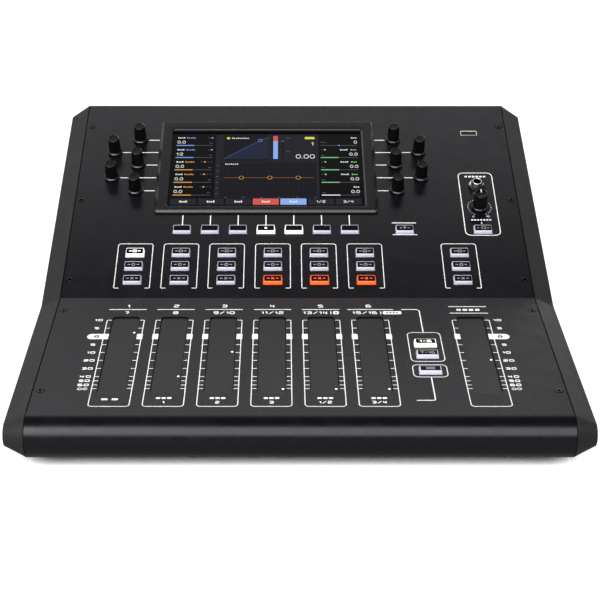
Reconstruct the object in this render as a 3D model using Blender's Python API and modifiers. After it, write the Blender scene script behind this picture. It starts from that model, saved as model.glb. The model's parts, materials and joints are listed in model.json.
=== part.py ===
"""Compact digital mixing console: a bent metal top between two moulded end cheeks.

Local frame: +X to the operator's right, +Y to the rear, +Z up, origin on the table
under the middle of the console. Metres. Positions on the two faces of the top are given
as (x, l, h): x across, l along the slope from the fold, up towards the rear, and h out of
the face.
"""
import bmesh
import bpy
from math import acos, cos, pi, radians, sin, tan
from mathutils import Matrix, Vector

# Body: the bent top, the end cheeks and the tray
PANEL_WIDTH = 0.3430       # between the end cheeks
UPPER_TILT = radians(23.3)
LOWER_TILT = radians(4.9)
UPPER_LENGTH = 0.2253      # fold to the sharp rear corner, along the slope
LOWER_LENGTH = 0.1628      # fold to the sharp front corner, along the slope
NOSE_RADIUS = 0.0150       # full round front edge
REAR_RADIUS = 0.0050
FOLD_RADIUS = 0.0030
HEEL_RADIUS = 0.0030       # lower rear corner of the cheeks
LEAST_RADIUS = 0.0015      # where a cheek's corners taper in
SHEET = 0.0015             # steel of the top
REAR_LIP = 0.0140          # what the top turns down behind
FRONT_LIP = 0.0120         # what the top turns back under the nose
CHEEK_WIDTH = 0.0140
CHEEK_INSET = 0.0070       # how far a cheek's outer outline lies inside its inner one
CHEEK_WALL = 0.0025
CHEEK_FACE = 0.0028        # thickness of a cheek's outer face
CHEEK_BOSS_RADIUS = 0.0035
CHEEK_BOSS_FRONT = 0.0300  # from the nose
CHEEK_BOSS_REAR = 0.0250   # from the rear face
CHEEK_BOSS_DROP = 0.0300   # under the upper face
CHEEK_SCREW_RADIUS = 0.0012
CHEEK_RIB = 0.0016
CHEEK_RIB_DROP = 0.0020     # ribs below the cheek's open side
SEAM = 0.0005              # between the top and a cheek
GAP = 0.0003               # between pieces that seat on each other
TRAY_SHEET = 0.0012
TRAY_SIDE = 0.0150         # height of the tray's side walls
TRAY_BEND = 0.0020
FOOT_HEIGHT = 0.0050       # table to the underside of the body
FOOT_RADIUS = 0.0085
FOOT_STEM_RADIUS = 0.0025
FOOT_BARB = 0.0011         # what the stem's head stands out over its hole
FOOT_BARB_HEIGHT = 0.0016
FOOT_DRAFT = 0.0010
FOOT_SIDES = 12
FOOT_SIDE_INSET = 0.0220
FOOT_END_INSET = 0.0420

# Vents in the tray floor
VENT_COUNT = 9
VENT_PITCH = 0.0075
VENT_WIDTH = 0.0030
VENT_LENGTH = 0.0420
VENT_GROUP_X = 0.0850
VENT_GROUP_Y = 0.0500

# Keys: a moulded cap on a tactile switch
KEY_WIDTH = 0.0136
KEY_DEPTH = 0.0076
BANK_KEY_WIDTH = 0.0150
CAP_HEIGHT = 0.0026
CAP_DRAFT = 0.0004         # what each side leans in over the cap's height
CAP_EDGE = 0.0004
KEY_TRAVEL = 0.0010
KEY_FLANGE = 0.0008        # what holds the key under the sheet
KEY_FLANGE_THICKNESS = 0.0010
KEY_STEM = 0.0030
KEY_STEM_LENGTH = 0.0004
SWITCH_SIDE = 0.0062

# Channel columns and their three keys
CHANNELS = 6
COLUMN_PITCH = 0.0343
COLUMN_MARGIN = 0.0506     # side edge of the top to the first column
BANK_STEP = 0.0357         # last channel column to the bank keys
MAIN_STEP = 0.0706         # last channel column to the main one
KEY_ROW_NEAR = 0.0179      # the row nearest the fold
KEY_ROW_PITCH = 0.01405
KEY_ROWS = ("mute", "solo", "select")

# Screen, its frame and its row of soft keys
SCREEN_X = -0.0234
WINDOW_L = 0.1405
WINDOW_WIDTH = 0.1524
WINDOW_LENGTH = 0.0894
BEZEL_SIDE = 0.0104
BEZEL_NEAR = 0.0073
BEZEL_FAR = 0.0123
BEZEL_HEIGHT = 0.0028
BEZEL_DRAFT = 0.0006
BEZEL_CORNER = 0.0030
BEZEL_EDGE = 0.0011        # radius of the rim outside and round the window
BEZEL_EDGE_STEPS = 3
GLASS_MARGIN = 0.0033      # glass hidden under the bezel, each side
GLASS_DEPTH = 0.0001
MODULE_MARGIN = 0.0065
MODULE_THICKNESS = 0.0057
SOFT_KEYS = 7
SOFT_KEY_PITCH = 0.02125
SOFT_KEY_L = 0.0707
TAP_KEY_X = 0.0819

# Encoders beside the screen
ENCODER_SPACE = 0.0159     # bezel to the nearer encoders' axes
ENCODER_STAGGER = 0.0195   # nearer to farther encoders
ENCODER_ROWS = 5
ENCODER_FIRST_L = 0.1755
ENCODER_PITCH = 0.0151
ENCODER_SIDE = 0.0120
SHAFT_RADIUS = 0.0030
BUSHING_RADIUS = 0.0045
BUSHING_RISE = 0.0012
SHAFT_BOTTOM = 0.0080
KNOB_LIFT = 0.0016         # skirt above the panel
KNOB_TOP = 0.0148
KNOB_SKIRT_RADIUS = 0.0058
KNOB_BODY_RADIUS = 0.0050
KNOB_CAP_RADIUS = 0.0042
KNOB_SKIRT = 0.0005        # height of its straight edge
KNOB_FLARE = 0.0011
KNOB_DOME = 0.0009
KNOB_DISH = 0.0005
KNOB_SIDES = 16
KNOB_FLUTE = 0.0003

# Monitor section
MONITOR_MARGIN = 0.0302    # side edge of the top to the section's middle
MONITOR_L = 0.0960
MONITOR_SCALE = 1.06       # its knob against an encoder's
PHONES_L = 0.1192
JACK_BODY = 0.0130
JACK_DEPTH = 0.0240
JACK_BORE_RADIUS = 0.00325
JACK_BORE_DEPTH = 0.0200
JACK_RISE = 0.0060
JACK_NUT_RADIUS = 0.0066
JACK_NUT_HEIGHT = 0.0028
USB_L = 0.1840
USB_WIDTH = 0.0134
USB_HEIGHT = 0.0058
USB_SHELL = 0.0006
USB_RECESS = 0.0002
USB_FLOOR = 0.0104

# Boards
BOARD = 0.0016
CONTROL_BOARD_SPACE = 0.0035  # under the display module
CONTROL_BOARD_SIDE = 0.0115   # from the top's side edge
CONTROL_BOARD_NEAR = 0.0080
CONTROL_BOARD_FAR = 0.0203    # from the top's rear corner
FADER_BOARD_SPACE = 0.0020    # under the switches' faces
FADER_BOARD_MARGIN = 0.0060

# Touch strips and the bank keys on the lower face
STRIP_WIDTH = 0.0190
STRIP_LENGTH = 0.0995
STRIP_L = -0.07625
STRIP_CORNER = 0.0030
STRIP_RECESS = 0.0011
BANK_L = (-0.0645, -0.0793, -0.0993)

# Rear sockets and mains
SOCKET_DEPTH = 0.0235
SOCKET_SIDE = 0.0250
SOCKET_FACE_RADIUS = 0.0118
SOCKET_PROUD = 0.0010
SOCKET_SPACE = 0.0075      # between neighbouring sockets
SOCKET_MARGIN = 0.0340     # side edge of the top to the last column of sockets
INPUTS = 8
OUTPUTS = 2
INPUT_Z = 0.0900
OUTPUT_Z = 0.0440
OUTPUT_CUP_RADIUS = 0.0096
OUTPUT_CUP_DEPTH = 0.0150
LINES = 4
LINE_STEP = 0.0330         # nearest output to the first line socket
LINE_SIDE = 0.0140
LINE_SPACE = 0.0100
LINE_NUT_RADIUS = 0.0065
LINE_NUT = 0.0014
REAR_BOARD_MARGIN = 0.0050
INLET_MARGIN = 0.0295      # side edge of the top to the inlet's middle
INLET_Z = 0.0380
INLET_WIDTH = 0.0270
INLET_HEIGHT = 0.0196
INLET_DEPTH = 0.0240
INLET_RIM = 0.0018
INLET_CUP = (0.0236, 0.0162)
INLET_CUP_DEPTH = 0.0160
ROCKER_STEP = 0.0300       # inlet to switch
ROCKER_WIDTH = 0.0110
ROCKER_RADIUS = 0.0080
ROCKER_HALF = 0.0028       # pivot to its back
ROCKER_VALLEY = 0.0018     # pivot to the bottom of the V in its face
ROCKER_STEPS = 6
ROCKER_SINK = 0.0024       # pivot inside the rear wall's outer face
ROCKER_TILT = radians(8)
ROCKER_WALL = 0.0010
SUPPLY_BOARD_LIFT = 0.0050
SUPPLY_LENGTH = 0.1150
SUPPLY_SIDE = 0.0080       # from the top's side edge
SUPPLY_PAST_SWITCH = 0.0040
SPACER_RADIUS = 0.0025
SPACER_INSET = 0.0050
CORE_LOW = (0.0120, 0.0300)   # transformer: from the board's side and its front edge
CORE_SIZE = (0.0300, 0.0350, 0.0220)
CAN_PLACE = (0.0140, 0.0200)  # large capacitor: from the board's other side and its front edge
CAN_RADIUS = 0.0090
CAN_HEIGHT = 0.0260
RIM_PROUD = 0.0013            # flanges of inlet and switch over the wall

# Follows from the above
BODY_BOTTOM = FOOT_HEIGHT
FRONT_HEIGHT = NOSE_RADIUS * (1 + tan((pi / 2 - LOWER_TILT) / 2))
FOLD_Z = BODY_BOTTOM + FRONT_HEIGHT + LOWER_LENGTH * sin(LOWER_TILT)
FRONT_RUN = LOWER_LENGTH * cos(LOWER_TILT)
REAR_RUN = UPPER_LENGTH * cos(UPPER_TILT)
FRONT_Y = -(FRONT_RUN + REAR_RUN) / 2
REAR_Y = -FRONT_Y
FOLD_Y = FRONT_Y + FRONT_RUN
TRAY_BOTTOM = BODY_BOTTOM + SHEET + GAP
TRAY_TOP = TRAY_BOTTOM + TRAY_SHEET
WALL_OUT = REAR_Y - SHEET - GAP
WALL_IN = WALL_OUT - TRAY_SHEET
HALF_WIDTH = PANEL_WIDTH / 2
COLUMNS = [COLUMN_MARGIN - HALF_WIDTH + COLUMN_PITCH * i for i in range(CHANNELS)]
BANK_X = COLUMNS[-1] + BANK_STEP
COLUMNS.append(COLUMNS[-1] + MAIN_STEP)
MONITOR_X = HALF_WIDTH - MONITOR_MARGIN
SHEET_UNDER = -SHEET - GAP  # top of what lies under the sheet
SWITCH_TOP = SHEET + KEY_FLANGE_THICKNESS + KEY_STEM_LENGTH + KEY_TRAVEL + 2 * GAP
CONTROL_BOARD_DEPTH = SHEET + GAP + MODULE_THICKNESS + CONTROL_BOARD_SPACE
FADER_BOARD_DEPTH = SWITCH_TOP + FADER_BOARD_SPACE
ENCODER_INNER = WINDOW_WIDTH / 2 + BEZEL_SIDE + ENCODER_SPACE
ENCODER_OUTER = ENCODER_INNER + ENCODER_STAGGER
SOCKET_X = HALF_WIDTH - SOCKET_MARGIN
SOCKET_PITCH = SOCKET_SIDE + SOCKET_SPACE
INPUT_X = [SOCKET_X - SOCKET_PITCH * (INPUTS - 1 - i) for i in range(INPUTS)]
OUTPUT_X = [SOCKET_X - SOCKET_PITCH * i for i in range(OUTPUTS)]
LINE_X = [OUTPUT_X[-1] - LINE_STEP - (LINE_SIDE + LINE_SPACE) * i for i in range(LINES)]
INLET_X = INLET_MARGIN - HALF_WIDTH
ROCKER_X = INLET_X + ROCKER_STEP

THROUGH = 0.0040           # how far a cutter runs past what it cuts
ROOT = 0.0010              # how far a raised form runs into what carries it
TINY = 0.0001
SAME_PLACE = 0.00001
BORE_SIDES = 12
SCREW_SIDES = 6
HEX_SIDES = 6
JACK_SIDES = 16
SOCKET_SIDES = 16


# ---------------------------------------------------------------- scene and materials

def clear_scene():
    for item in list(bpy.data.objects):
        bpy.data.objects.remove(item, do_unlink=True)


def collection(name):
    group = bpy.data.collections.new(name)
    bpy.context.scene.collection.children.link(group)
    return group


def material(name, colour, roughness, metallic=0.0):
    made = bpy.data.materials.new(name)
    made.use_nodes = True
    shader = made.node_tree.nodes["Principled BSDF"]
    shader.inputs["Base Color"].default_value = (*colour, 1.0)
    shader.inputs["Roughness"].default_value = roughness
    shader.inputs["Metallic"].default_value = metallic
    return made


def add_object(name, mesh, finish, location=(0, 0, 0), tilt=0.0):
    made = bpy.data.objects.new(name, mesh)
    if not mesh.materials:
        mesh.materials.append(finish)
    made.location = location
    made.rotation_euler = (tilt, 0, 0)
    PARTS.objects.link(made)
    return made


def add_cutter(name, mesh, location=(0, 0, 0), tilt=0.0):
    made = bpy.data.objects.new(name, mesh)
    made.location = location
    made.rotation_euler = (tilt, 0, 0)
    made.hide_render = True
    made.display_type = "WIRE"
    CUTTERS.objects.link(made)
    return made


def boolean(target, tool, operation):
    step = target.modifiers.new(tool.name, "BOOLEAN")
    step.operation = operation
    step.object = tool
    step.solver = "EXACT"


def on_upper(x, l, h=0.0):
    return Vector((x, FOLD_Y + l * cos(UPPER_TILT) - h * sin(UPPER_TILT),
                   FOLD_Z + l * sin(UPPER_TILT) + h * cos(UPPER_TILT)))


def on_lower(x, l, h=0.0):
    return Vector((x, FOLD_Y + l * cos(LOWER_TILT) - h * sin(LOWER_TILT),
                   FOLD_Z + l * sin(LOWER_TILT) + h * cos(LOWER_TILT)))


# ---------------------------------------------------------------- mesh helpers

def finish_mesh(bm, name):
    bmesh.ops.recalc_face_normals(bm, faces=bm.faces)
    mesh = bpy.data.meshes.new(name)
    bm.to_mesh(mesh)
    bm.free()
    return mesh


def box(bm, low, high, corner=0.0, corner_steps=3):
    """A box between two corners; its edges along Z can be rounded."""
    size = [b - a for a, b in zip(low, high)]
    middle = [(a + b) / 2 for a, b in zip(low, high)]
    place = Matrix.Translation(middle) @ Matrix.Diagonal((*size, 1))
    verts = bmesh.ops.create_cube(bm, size=1, matrix=place)["verts"]
    if corner:
        edges = {e for v in verts for e in v.link_edges
                 if abs(e.verts[0].co.z - e.verts[1].co.z) > size[2] / 2}
        bmesh.ops.bevel(bm, geom=list(edges), offset=corner, segments=corner_steps, profile=0.5,
                        affect="EDGES", material=-1)


def cylinder(bm, centre, radius, low, high, sides, along="Z", turn=0.0):
    """A cylinder from low to high along an axis; centre gives the other two coordinates."""
    middle = (low + high) / 2
    if along == "Z":
        place = Matrix.Translation((centre[0], centre[1], middle))
    elif along == "Y":
        place = Matrix.Translation((centre[0], middle, centre[1])) @ Matrix.Rotation(-pi / 2, 4, "X")
    else:
        place = Matrix.Translation((middle, centre[0], centre[1])) @ Matrix.Rotation(pi / 2, 4, "Y")
    place = place @ Matrix.Rotation(turn, 4, "Z")
    bmesh.ops.create_cone(bm, cap_ends=True, segments=sides, radius1=radius, radius2=radius,
                          depth=high - low, matrix=place)


def stack(bm, sections):
    """A solid from rectangles (half width, half depth, height), lowest first."""
    half_x, half_y, height = sections[0]
    made = bmesh.ops.create_grid(bm, x_segments=1, y_segments=1, size=1,
                                 matrix=Matrix.Translation((0, 0, height)))
    for v in made["verts"]:
        v.co.x *= half_x
        v.co.y *= half_y
    face = made["verts"][0].link_faces[0]
    for step, (next_x, next_y, next_height) in enumerate(sections[1:]):
        raised = bmesh.ops.extrude_face_region(bm, geom=[face])["geom"]
        if step:
            bmesh.ops.delete(bm, geom=[face], context="FACES_ONLY")
        face = [g for g in raised if isinstance(g, bmesh.types.BMFace)][0]
        for v in face.verts:
            v.co.x *= next_x / half_x
            v.co.y *= next_y / half_y
            v.co.z = next_height
        half_x, half_y = next_x, next_y


def turned_mesh(name, profile, sides):
    """Turn (radius, height) points, given from the top down the outer side, about Z."""
    line = bpy.data.meshes.new(name)
    line.from_pydata([(r, 0, z) for r, z in profile],
                     [(i, i + 1) for i in range(len(profile) - 1)], [])
    turner = bpy.data.objects.new(name, line)
    bpy.context.scene.collection.objects.link(turner)
    screw = turner.modifiers.new("turn", "SCREW")
    screw.steps = sides
    screw.render_steps = sides
    screw.use_merge_vertices = True
    screw.merge_threshold = SAME_PLACE
    bpy.context.view_layer.update()
    shape = turner.evaluated_get(bpy.context.evaluated_depsgraph_get())
    mesh = bpy.data.meshes.new_from_object(shape)
    mesh.name = name
    bpy.data.objects.remove(turner, do_unlink=True)
    return mesh


def round_corner(before, corner, after, radius, steps):
    """Points of the arc that rounds a corner of an outline in the Y-Z plane."""
    back = (before - corner).normalized()
    ahead = (after - corner).normalized()
    half = back.angle(ahead) / 2
    reach = radius / tan(half)
    centre = corner + (back + ahead).normalized() * (radius / sin(half))
    start = corner + back * reach - centre
    sweep = (pi - 2 * half) * (1 if back.cross(ahead) < 0 else -1)
    points = []
    for i in range(steps + 1):
        a = sweep * i / steps
        points.append(centre + Vector((start.x * cos(a) - start.y * sin(a),
                                       start.x * sin(a) + start.y * cos(a))))
    return points


def corners(inset):
    """The side outline's sharp corners, moved inwards: heel, rear top, fold, nose."""
    rear = REAR_Y - inset
    front = FRONT_Y + inset
    bottom = BODY_BOTTOM + inset
    upper_z = FOLD_Z - inset / cos(UPPER_TILT)
    lower_z = FOLD_Z - inset / cos(LOWER_TILT)
    fold = (upper_z - lower_z) / (tan(LOWER_TILT) - tan(UPPER_TILT))
    return [
        Vector((rear, bottom)),
        Vector((rear, upper_z + (rear - FOLD_Y) * tan(UPPER_TILT))),
        Vector((FOLD_Y + fold, upper_z + fold * tan(UPPER_TILT))),
        Vector((front, lower_z + (front - FOLD_Y) * tan(LOWER_TILT))),
        Vector((front, bottom)),
    ]


def radii(inset):
    return [max(HEEL_RADIUS - inset, LEAST_RADIUS), max(REAR_RADIUS - inset, LEAST_RADIUS),
            FOLD_RADIUS + inset, NOSE_RADIUS - inset, NOSE_RADIUS - inset]


ARC_STEPS = (3, 5, 2, 8, 8)


def tidy_path(points):
    """Drop a point that lies on the one before it."""
    kept = [points[0]]
    for point in points[1:]:
        if (point - kept[-1]).length > SAME_PLACE:
            kept.append(point)
    return kept


def side_outline(inset):
    """The closed side outline, the same number of points whatever the inset."""
    sharp = corners(inset)
    points = []
    for i, corner in enumerate(sharp):
        points += round_corner(sharp[i - 1], corner, sharp[(i + 1) % len(sharp)],
                               radii(inset)[i], ARC_STEPS[i])
    return tidy_path(points)


def strip_mesh(name, path, half_width):
    """A path in the Y-Z plane drawn out along X into an open surface."""
    bm = bmesh.new()
    verts = [bm.verts.new((-half_width, p.x, p.y)) for p in path]
    edges = [bm.edges.new(pair) for pair in zip(verts, verts[1:])]
    drawn = bmesh.ops.extrude_edge_only(bm, edges=edges)["geom"]
    moved = [g for g in drawn if isinstance(g, bmesh.types.BMVert)]
    bmesh.ops.translate(bm, verts=moved, vec=(2 * half_width, 0, 0))
    return finish_mesh(bm, name)


def thicken(target, thickness):
    shell = target.modifiers.new("sheet", "SOLIDIFY")
    shell.thickness = thickness
    shell.offset = -1.0
    shell.use_even_offset = True


# ---------------------------------------------------------------- where the controls sit

def upper_keys():
    """Name and (x, l) of every key on the upper face."""
    keys = []
    for i in range(SOFT_KEYS):
        keys.append((f"soft_button_{i + 1}", SCREEN_X + SOFT_KEY_PITCH * (i - (SOFT_KEYS - 1) / 2),
                     SOFT_KEY_L))
    keys.append(("tap_button", TAP_KEY_X, SOFT_KEY_L))
    keys.append(("clear_button", MONITOR_X, SOFT_KEY_L))
    for i, x in enumerate(COLUMNS):
        owner = "main" if i == CHANNELS else f"channel_{i + 1}"
        for row, task in enumerate(KEY_ROWS):
            keys.append((f"{owner}_{task}_button", x, KEY_ROW_NEAR + KEY_ROW_PITCH * row))
    return keys


def bank_keys():
    return [(f"bank_button_{i + 1}", BANK_X, l) for i, l in enumerate(BANK_L)]


def encoders():
    """Name and (x, l) of each encoder; odd rows stand nearer the screen than even ones."""
    places = []
    for side, label in ((-1, "left"), (1, "right")):
        for row in range(ENCODER_ROWS):
            reach = ENCODER_INNER if row % 2 == 0 else ENCODER_OUTER
            places.append((f"encoder_knob_{label}_{row + 1}", SCREEN_X + side * reach,
                           ENCODER_FIRST_L - ENCODER_PITCH * row))
    return places


# ---------------------------------------------------------------- top, cheeks and tray

def make_top_panel():
    sharp = corners(0)
    bends = radii(0)
    rear_end = Vector((REAR_Y, sharp[1].y - REAR_RADIUS / tan((pi / 2 - UPPER_TILT) / 2) - REAR_LIP))
    front_end = Vector((FRONT_Y + NOSE_RADIUS + FRONT_LIP, BODY_BOTTOM))
    turns = [rear_end, *sharp[1:], front_end]
    path = [rear_end]
    for i in range(1, len(turns) - 1):
        path += round_corner(turns[i - 1], turns[i], turns[i + 1], bends[i], ARC_STEPS[i])
    path.append(front_end)
    top = add_object("top_panel", strip_mesh("top_panel", tidy_path(path), HALF_WIDTH), BLACK_PAINT)
    thicken(top, SHEET)

    fold = (0, FOLD_Y, FOLD_Z)
    bm = bmesh.new()
    for _, x, l in upper_keys():
        cut_key(bm, x, l, KEY_WIDTH)
    for _, x, l in encoders():
        cylinder(bm, (x, l), BUSHING_RADIUS + GAP, -SHEET - THROUGH, THROUGH, BORE_SIDES)
    cylinder(bm, (MONITOR_X, MONITOR_L), BUSHING_RADIUS + GAP, -SHEET - THROUGH, THROUGH, BORE_SIDES)
    cylinder(bm, (MONITOR_X, PHONES_L), BUSHING_RADIUS + GAP, -SHEET - THROUGH, THROUGH, BORE_SIDES)
    half = ((USB_WIDTH / 2 + GAP), (USB_HEIGHT / 2 + GAP))
    box(bm, (MONITOR_X - half[0], USB_L - half[1], -SHEET - THROUGH),
        (MONITOR_X + half[0], USB_L + half[1], THROUGH))
    half = (WINDOW_WIDTH / 2 + GLASS_MARGIN + GAP, WINDOW_LENGTH / 2 + GLASS_MARGIN + GAP)
    box(bm, (SCREEN_X - half[0], WINDOW_L - half[1], -SHEET - THROUGH),
        (SCREEN_X + half[0], WINDOW_L + half[1], THROUGH))
    boolean(top, add_cutter("upper_holes", finish_mesh(bm, "upper_holes"), fold, UPPER_TILT),
            "DIFFERENCE")

    bm = bmesh.new()
    for _, x, l in bank_keys():
        cut_key(bm, x, l, BANK_KEY_WIDTH)
    for x in COLUMNS:
        box(bm, (x - STRIP_WIDTH / 2, STRIP_L - STRIP_LENGTH / 2, -SHEET - THROUGH),
            (x + STRIP_WIDTH / 2, STRIP_L + STRIP_LENGTH / 2, THROUGH), STRIP_CORNER)
    boolean(top, add_cutter("lower_holes", finish_mesh(bm, "lower_holes"), fold, LOWER_TILT),
            "DIFFERENCE")


def cut_key(bm, x, l, width):
    box(bm, (x - width / 2 - GAP, l - KEY_DEPTH / 2 - GAP, -SHEET - THROUGH),
        (x + width / 2 + GAP, l + KEY_DEPTH / 2 + GAP, THROUGH))


def loft_mesh(name, sections):
    """A closed solid through outlines of equal count, each (x, points)."""
    bm = bmesh.new()
    loops = []
    for x, points in sections:
        verts = [bm.verts.new((x, p.x, p.y)) for p in points]
        loops.append([bm.edges.new(pair) for pair in zip(verts, verts[1:] + verts[:1])])
    bmesh.ops.bridge_loops(bm, edges=[e for loop in loops for e in loop])
    for loop in loops:
        bmesh.ops.edgeloop_fill(bm, edges=loop)
    return finish_mesh(bm, name)


def cheek_bosses():
    """Screw bosses along the cheek, clear of its walls."""
    low = TRAY_TOP + TRAY_SIDE / 2
    rear = REAR_Y - CHEEK_BOSS_REAR
    return [(FRONT_Y + CHEEK_BOSS_FRONT, low), (FOLD_Y, low), (rear, low),
            (FOLD_Y + REAR_RUN / 2, FOLD_Z),
            (rear, FOLD_Z + (rear - FOLD_Y) * tan(UPPER_TILT) - CHEEK_BOSS_DROP)]


def cheek_ribs():
    """Upright ribs: one through each boss and one halfway along the low front stretch."""
    places = sorted({y for y, _ in cheek_bosses()})
    return [*places, (places[0] + places[1]) / 2]


def make_cheek(name, side):
    inner = side * (HALF_WIDTH + SEAM)
    outer = inner + side * CHEEK_WIDTH
    mesh = loft_mesh(name, [(inner, side_outline(0)), (outer, side_outline(CHEEK_INSET))])
    cheek = add_object(name, mesh, CHEEK_PLASTIC)
    floor = outer - side * CHEEK_FACE
    lean = CHEEK_INSET / CHEEK_WIDTH
    before = inner - side * THROUGH
    pocket = add_cutter(name + "_pocket", loft_mesh(name + "_pocket", [
        (before, side_outline(CHEEK_WALL - THROUGH * lean)),
        (floor, side_outline(CHEEK_WALL + abs(floor - inner) * lean))]))
    bm = bmesh.new()
    for y in cheek_ribs():
        ends = sorted((inner + side * CHEEK_RIB_DROP, outer + side * THROUGH))
        box(bm, (ends[0], y - CHEEK_RIB / 2, 0), (ends[1], y + CHEEK_RIB / 2, 2 * FOLD_Z + REAR_RUN))
    boolean(pocket, add_cutter(name + "_ribs", finish_mesh(bm, name + "_ribs")), "DIFFERENCE")
    boolean(cheek, pocket, "DIFFERENCE")
    bm = bmesh.new()
    for place in cheek_bosses():
        ends = sorted((inner, floor + side * CHEEK_FACE / 2))
        cylinder(bm, place, CHEEK_BOSS_RADIUS, *ends, BORE_SIDES, along="X")
    boolean(cheek, add_cutter(name + "_bosses", finish_mesh(bm, name + "_bosses")), "UNION")
    bm = bmesh.new()
    for place in cheek_bosses():
        ends = sorted((inner - side * THROUGH, floor - side * CHEEK_FACE))
        cylinder(bm, place, CHEEK_SCREW_RADIUS, *ends, SCREW_SIDES, along="X")
    boolean(cheek, add_cutter(name + "_screw_holes", finish_mesh(bm, name + "_screw_holes")),
            "DIFFERENCE")


def foot_places():
    x = HALF_WIDTH - FOOT_SIDE_INSET
    return [("front_left", -x, FRONT_Y + FOOT_END_INSET), ("front_right", x, FRONT_Y + FOOT_END_INSET),
            ("rear_left", -x, REAR_Y - FOOT_END_INSET), ("rear_right", x, REAR_Y - FOOT_END_INSET)]


def make_tray():
    wall_top = corners(0)[1].y - REAR_RADIUS / tan((pi / 2 - UPPER_TILT) / 2) - GAP * 6
    start = Vector((FRONT_Y + NOSE_RADIUS + ROOT, TRAY_BOTTOM))
    heel = Vector((WALL_OUT, TRAY_BOTTOM))
    end = Vector((WALL_OUT, wall_top))
    path = [start, *round_corner(start, heel, end, TRAY_BEND, 3), end]
    tray = add_object("base_tray", strip_mesh("base_tray", path, HALF_WIDTH), BLACK_PAINT)
    thicken(tray, TRAY_SHEET)

    bm = bmesh.new()
    for side in (-1, 1):
        ends = sorted((side * HALF_WIDTH, side * (HALF_WIDTH - TRAY_SHEET)))
        box(bm, (ends[0], start.x + ROOT, TRAY_BOTTOM + TRAY_SHEET / 2),
            (ends[1], WALL_IN + TRAY_SHEET / 2, TRAY_TOP + TRAY_SIDE))
    boolean(tray, add_cutter("tray_sides", finish_mesh(bm, "tray_sides")), "UNION")

    bm = bmesh.new()
    wall = (WALL_IN - THROUGH, WALL_OUT + THROUGH)
    for x in INPUT_X:
        cylinder(bm, (x, INPUT_Z), SOCKET_FACE_RADIUS + GAP, *wall, SOCKET_SIDES, along="Y")
    for x in OUTPUT_X:
        cylinder(bm, (x, OUTPUT_Z), SOCKET_FACE_RADIUS + GAP, *wall, SOCKET_SIDES, along="Y")
    for x in LINE_X:
        cylinder(bm, (x, OUTPUT_Z), BUSHING_RADIUS + GAP, *wall, BORE_SIDES, along="Y")
    half = (INLET_WIDTH / 2 + GAP, INLET_HEIGHT / 2 + GAP)
    box(bm, (INLET_X - half[0], wall[0], INLET_Z - half[1]),
        (INLET_X + half[0], wall[1], INLET_Z + half[1]))
    half = (rocker_house()[0] + GAP, rocker_house()[1] + GAP)
    box(bm, (ROCKER_X - half[0], wall[0], INLET_Z - half[1]),
        (ROCKER_X + half[0], wall[1], INLET_Z + half[1]))
    floor = (TRAY_BOTTOM - THROUGH, TRAY_TOP + THROUGH)
    for _, x, y in foot_places():
        cylinder(bm, (x, y), FOOT_STEM_RADIUS + GAP, *floor, FOOT_SIDES)
    for group in (-1, 1):
        for i in range(VENT_COUNT):
            x = group * VENT_GROUP_X + VENT_PITCH * (i - (VENT_COUNT - 1) / 2)
            box(bm, (x - VENT_WIDTH / 2, VENT_GROUP_Y - VENT_LENGTH / 2, floor[0]),
                (x + VENT_WIDTH / 2, VENT_GROUP_Y + VENT_LENGTH / 2, floor[1]))
    boolean(tray, add_cutter("tray_holes", finish_mesh(bm, "tray_holes")), "DIFFERENCE")


def make_feet():
    top = TRAY_BOTTOM - GAP
    head = TRAY_TOP + GAP
    profile = [(0, head + FOOT_BARB_HEIGHT), (FOOT_STEM_RADIUS - FOOT_BARB / 2, head + FOOT_BARB_HEIGHT),
               (FOOT_STEM_RADIUS + FOOT_BARB, head), (FOOT_STEM_RADIUS, head), (FOOT_STEM_RADIUS, top),
               (FOOT_RADIUS, top), (FOOT_RADIUS - FOOT_DRAFT, 0), (0, 0)]
    mesh = turned_mesh("rubber_foot", profile, FOOT_SIDES)
    for name, x, y in foot_places():
        add_object(f"foot_{name}", mesh, RUBBER, (x, y, 0))


# ---------------------------------------------------------------- keys and knobs

def key_mesh(name, width):
    half_x = width / 2
    half_y = KEY_DEPTH / 2
    under = SHEET_UNDER
    flange_low = under - KEY_FLANGE_THICKNESS
    stem_low = -SWITCH_TOP + KEY_TRAVEL + GAP
    bm = bmesh.new()
    stack(bm, [(KEY_STEM / 2, KEY_STEM / 2, stem_low), (KEY_STEM / 2, KEY_STEM / 2, flange_low),
               (half_x + KEY_FLANGE, half_y + KEY_FLANGE, flange_low),
               (half_x + KEY_FLANGE, half_y + KEY_FLANGE, under), (half_x, half_y, under),
               (half_x, half_y, 0), (half_x - CAP_DRAFT, half_y - CAP_DRAFT, CAP_HEIGHT)])
    rim = [e for e in bm.edges if all(v.co.z > CAP_HEIGHT - TINY for v in e.verts)]
    bmesh.ops.bevel(bm, geom=rim, offset=CAP_EDGE, segments=1, profile=0.5, affect="EDGES",
                    material=-1)
    return finish_mesh(bm, name)


def make_keys():
    mesh = key_mesh("key", KEY_WIDTH)
    for name, x, l in upper_keys():
        add_object(name, mesh, KEY_PLASTIC, on_upper(x, l), UPPER_TILT)
    mesh = key_mesh("bank_key", BANK_KEY_WIDTH)
    for name, x, l in bank_keys():
        add_object(name, mesh, KEY_PLASTIC, on_lower(x, l), LOWER_TILT)


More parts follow.
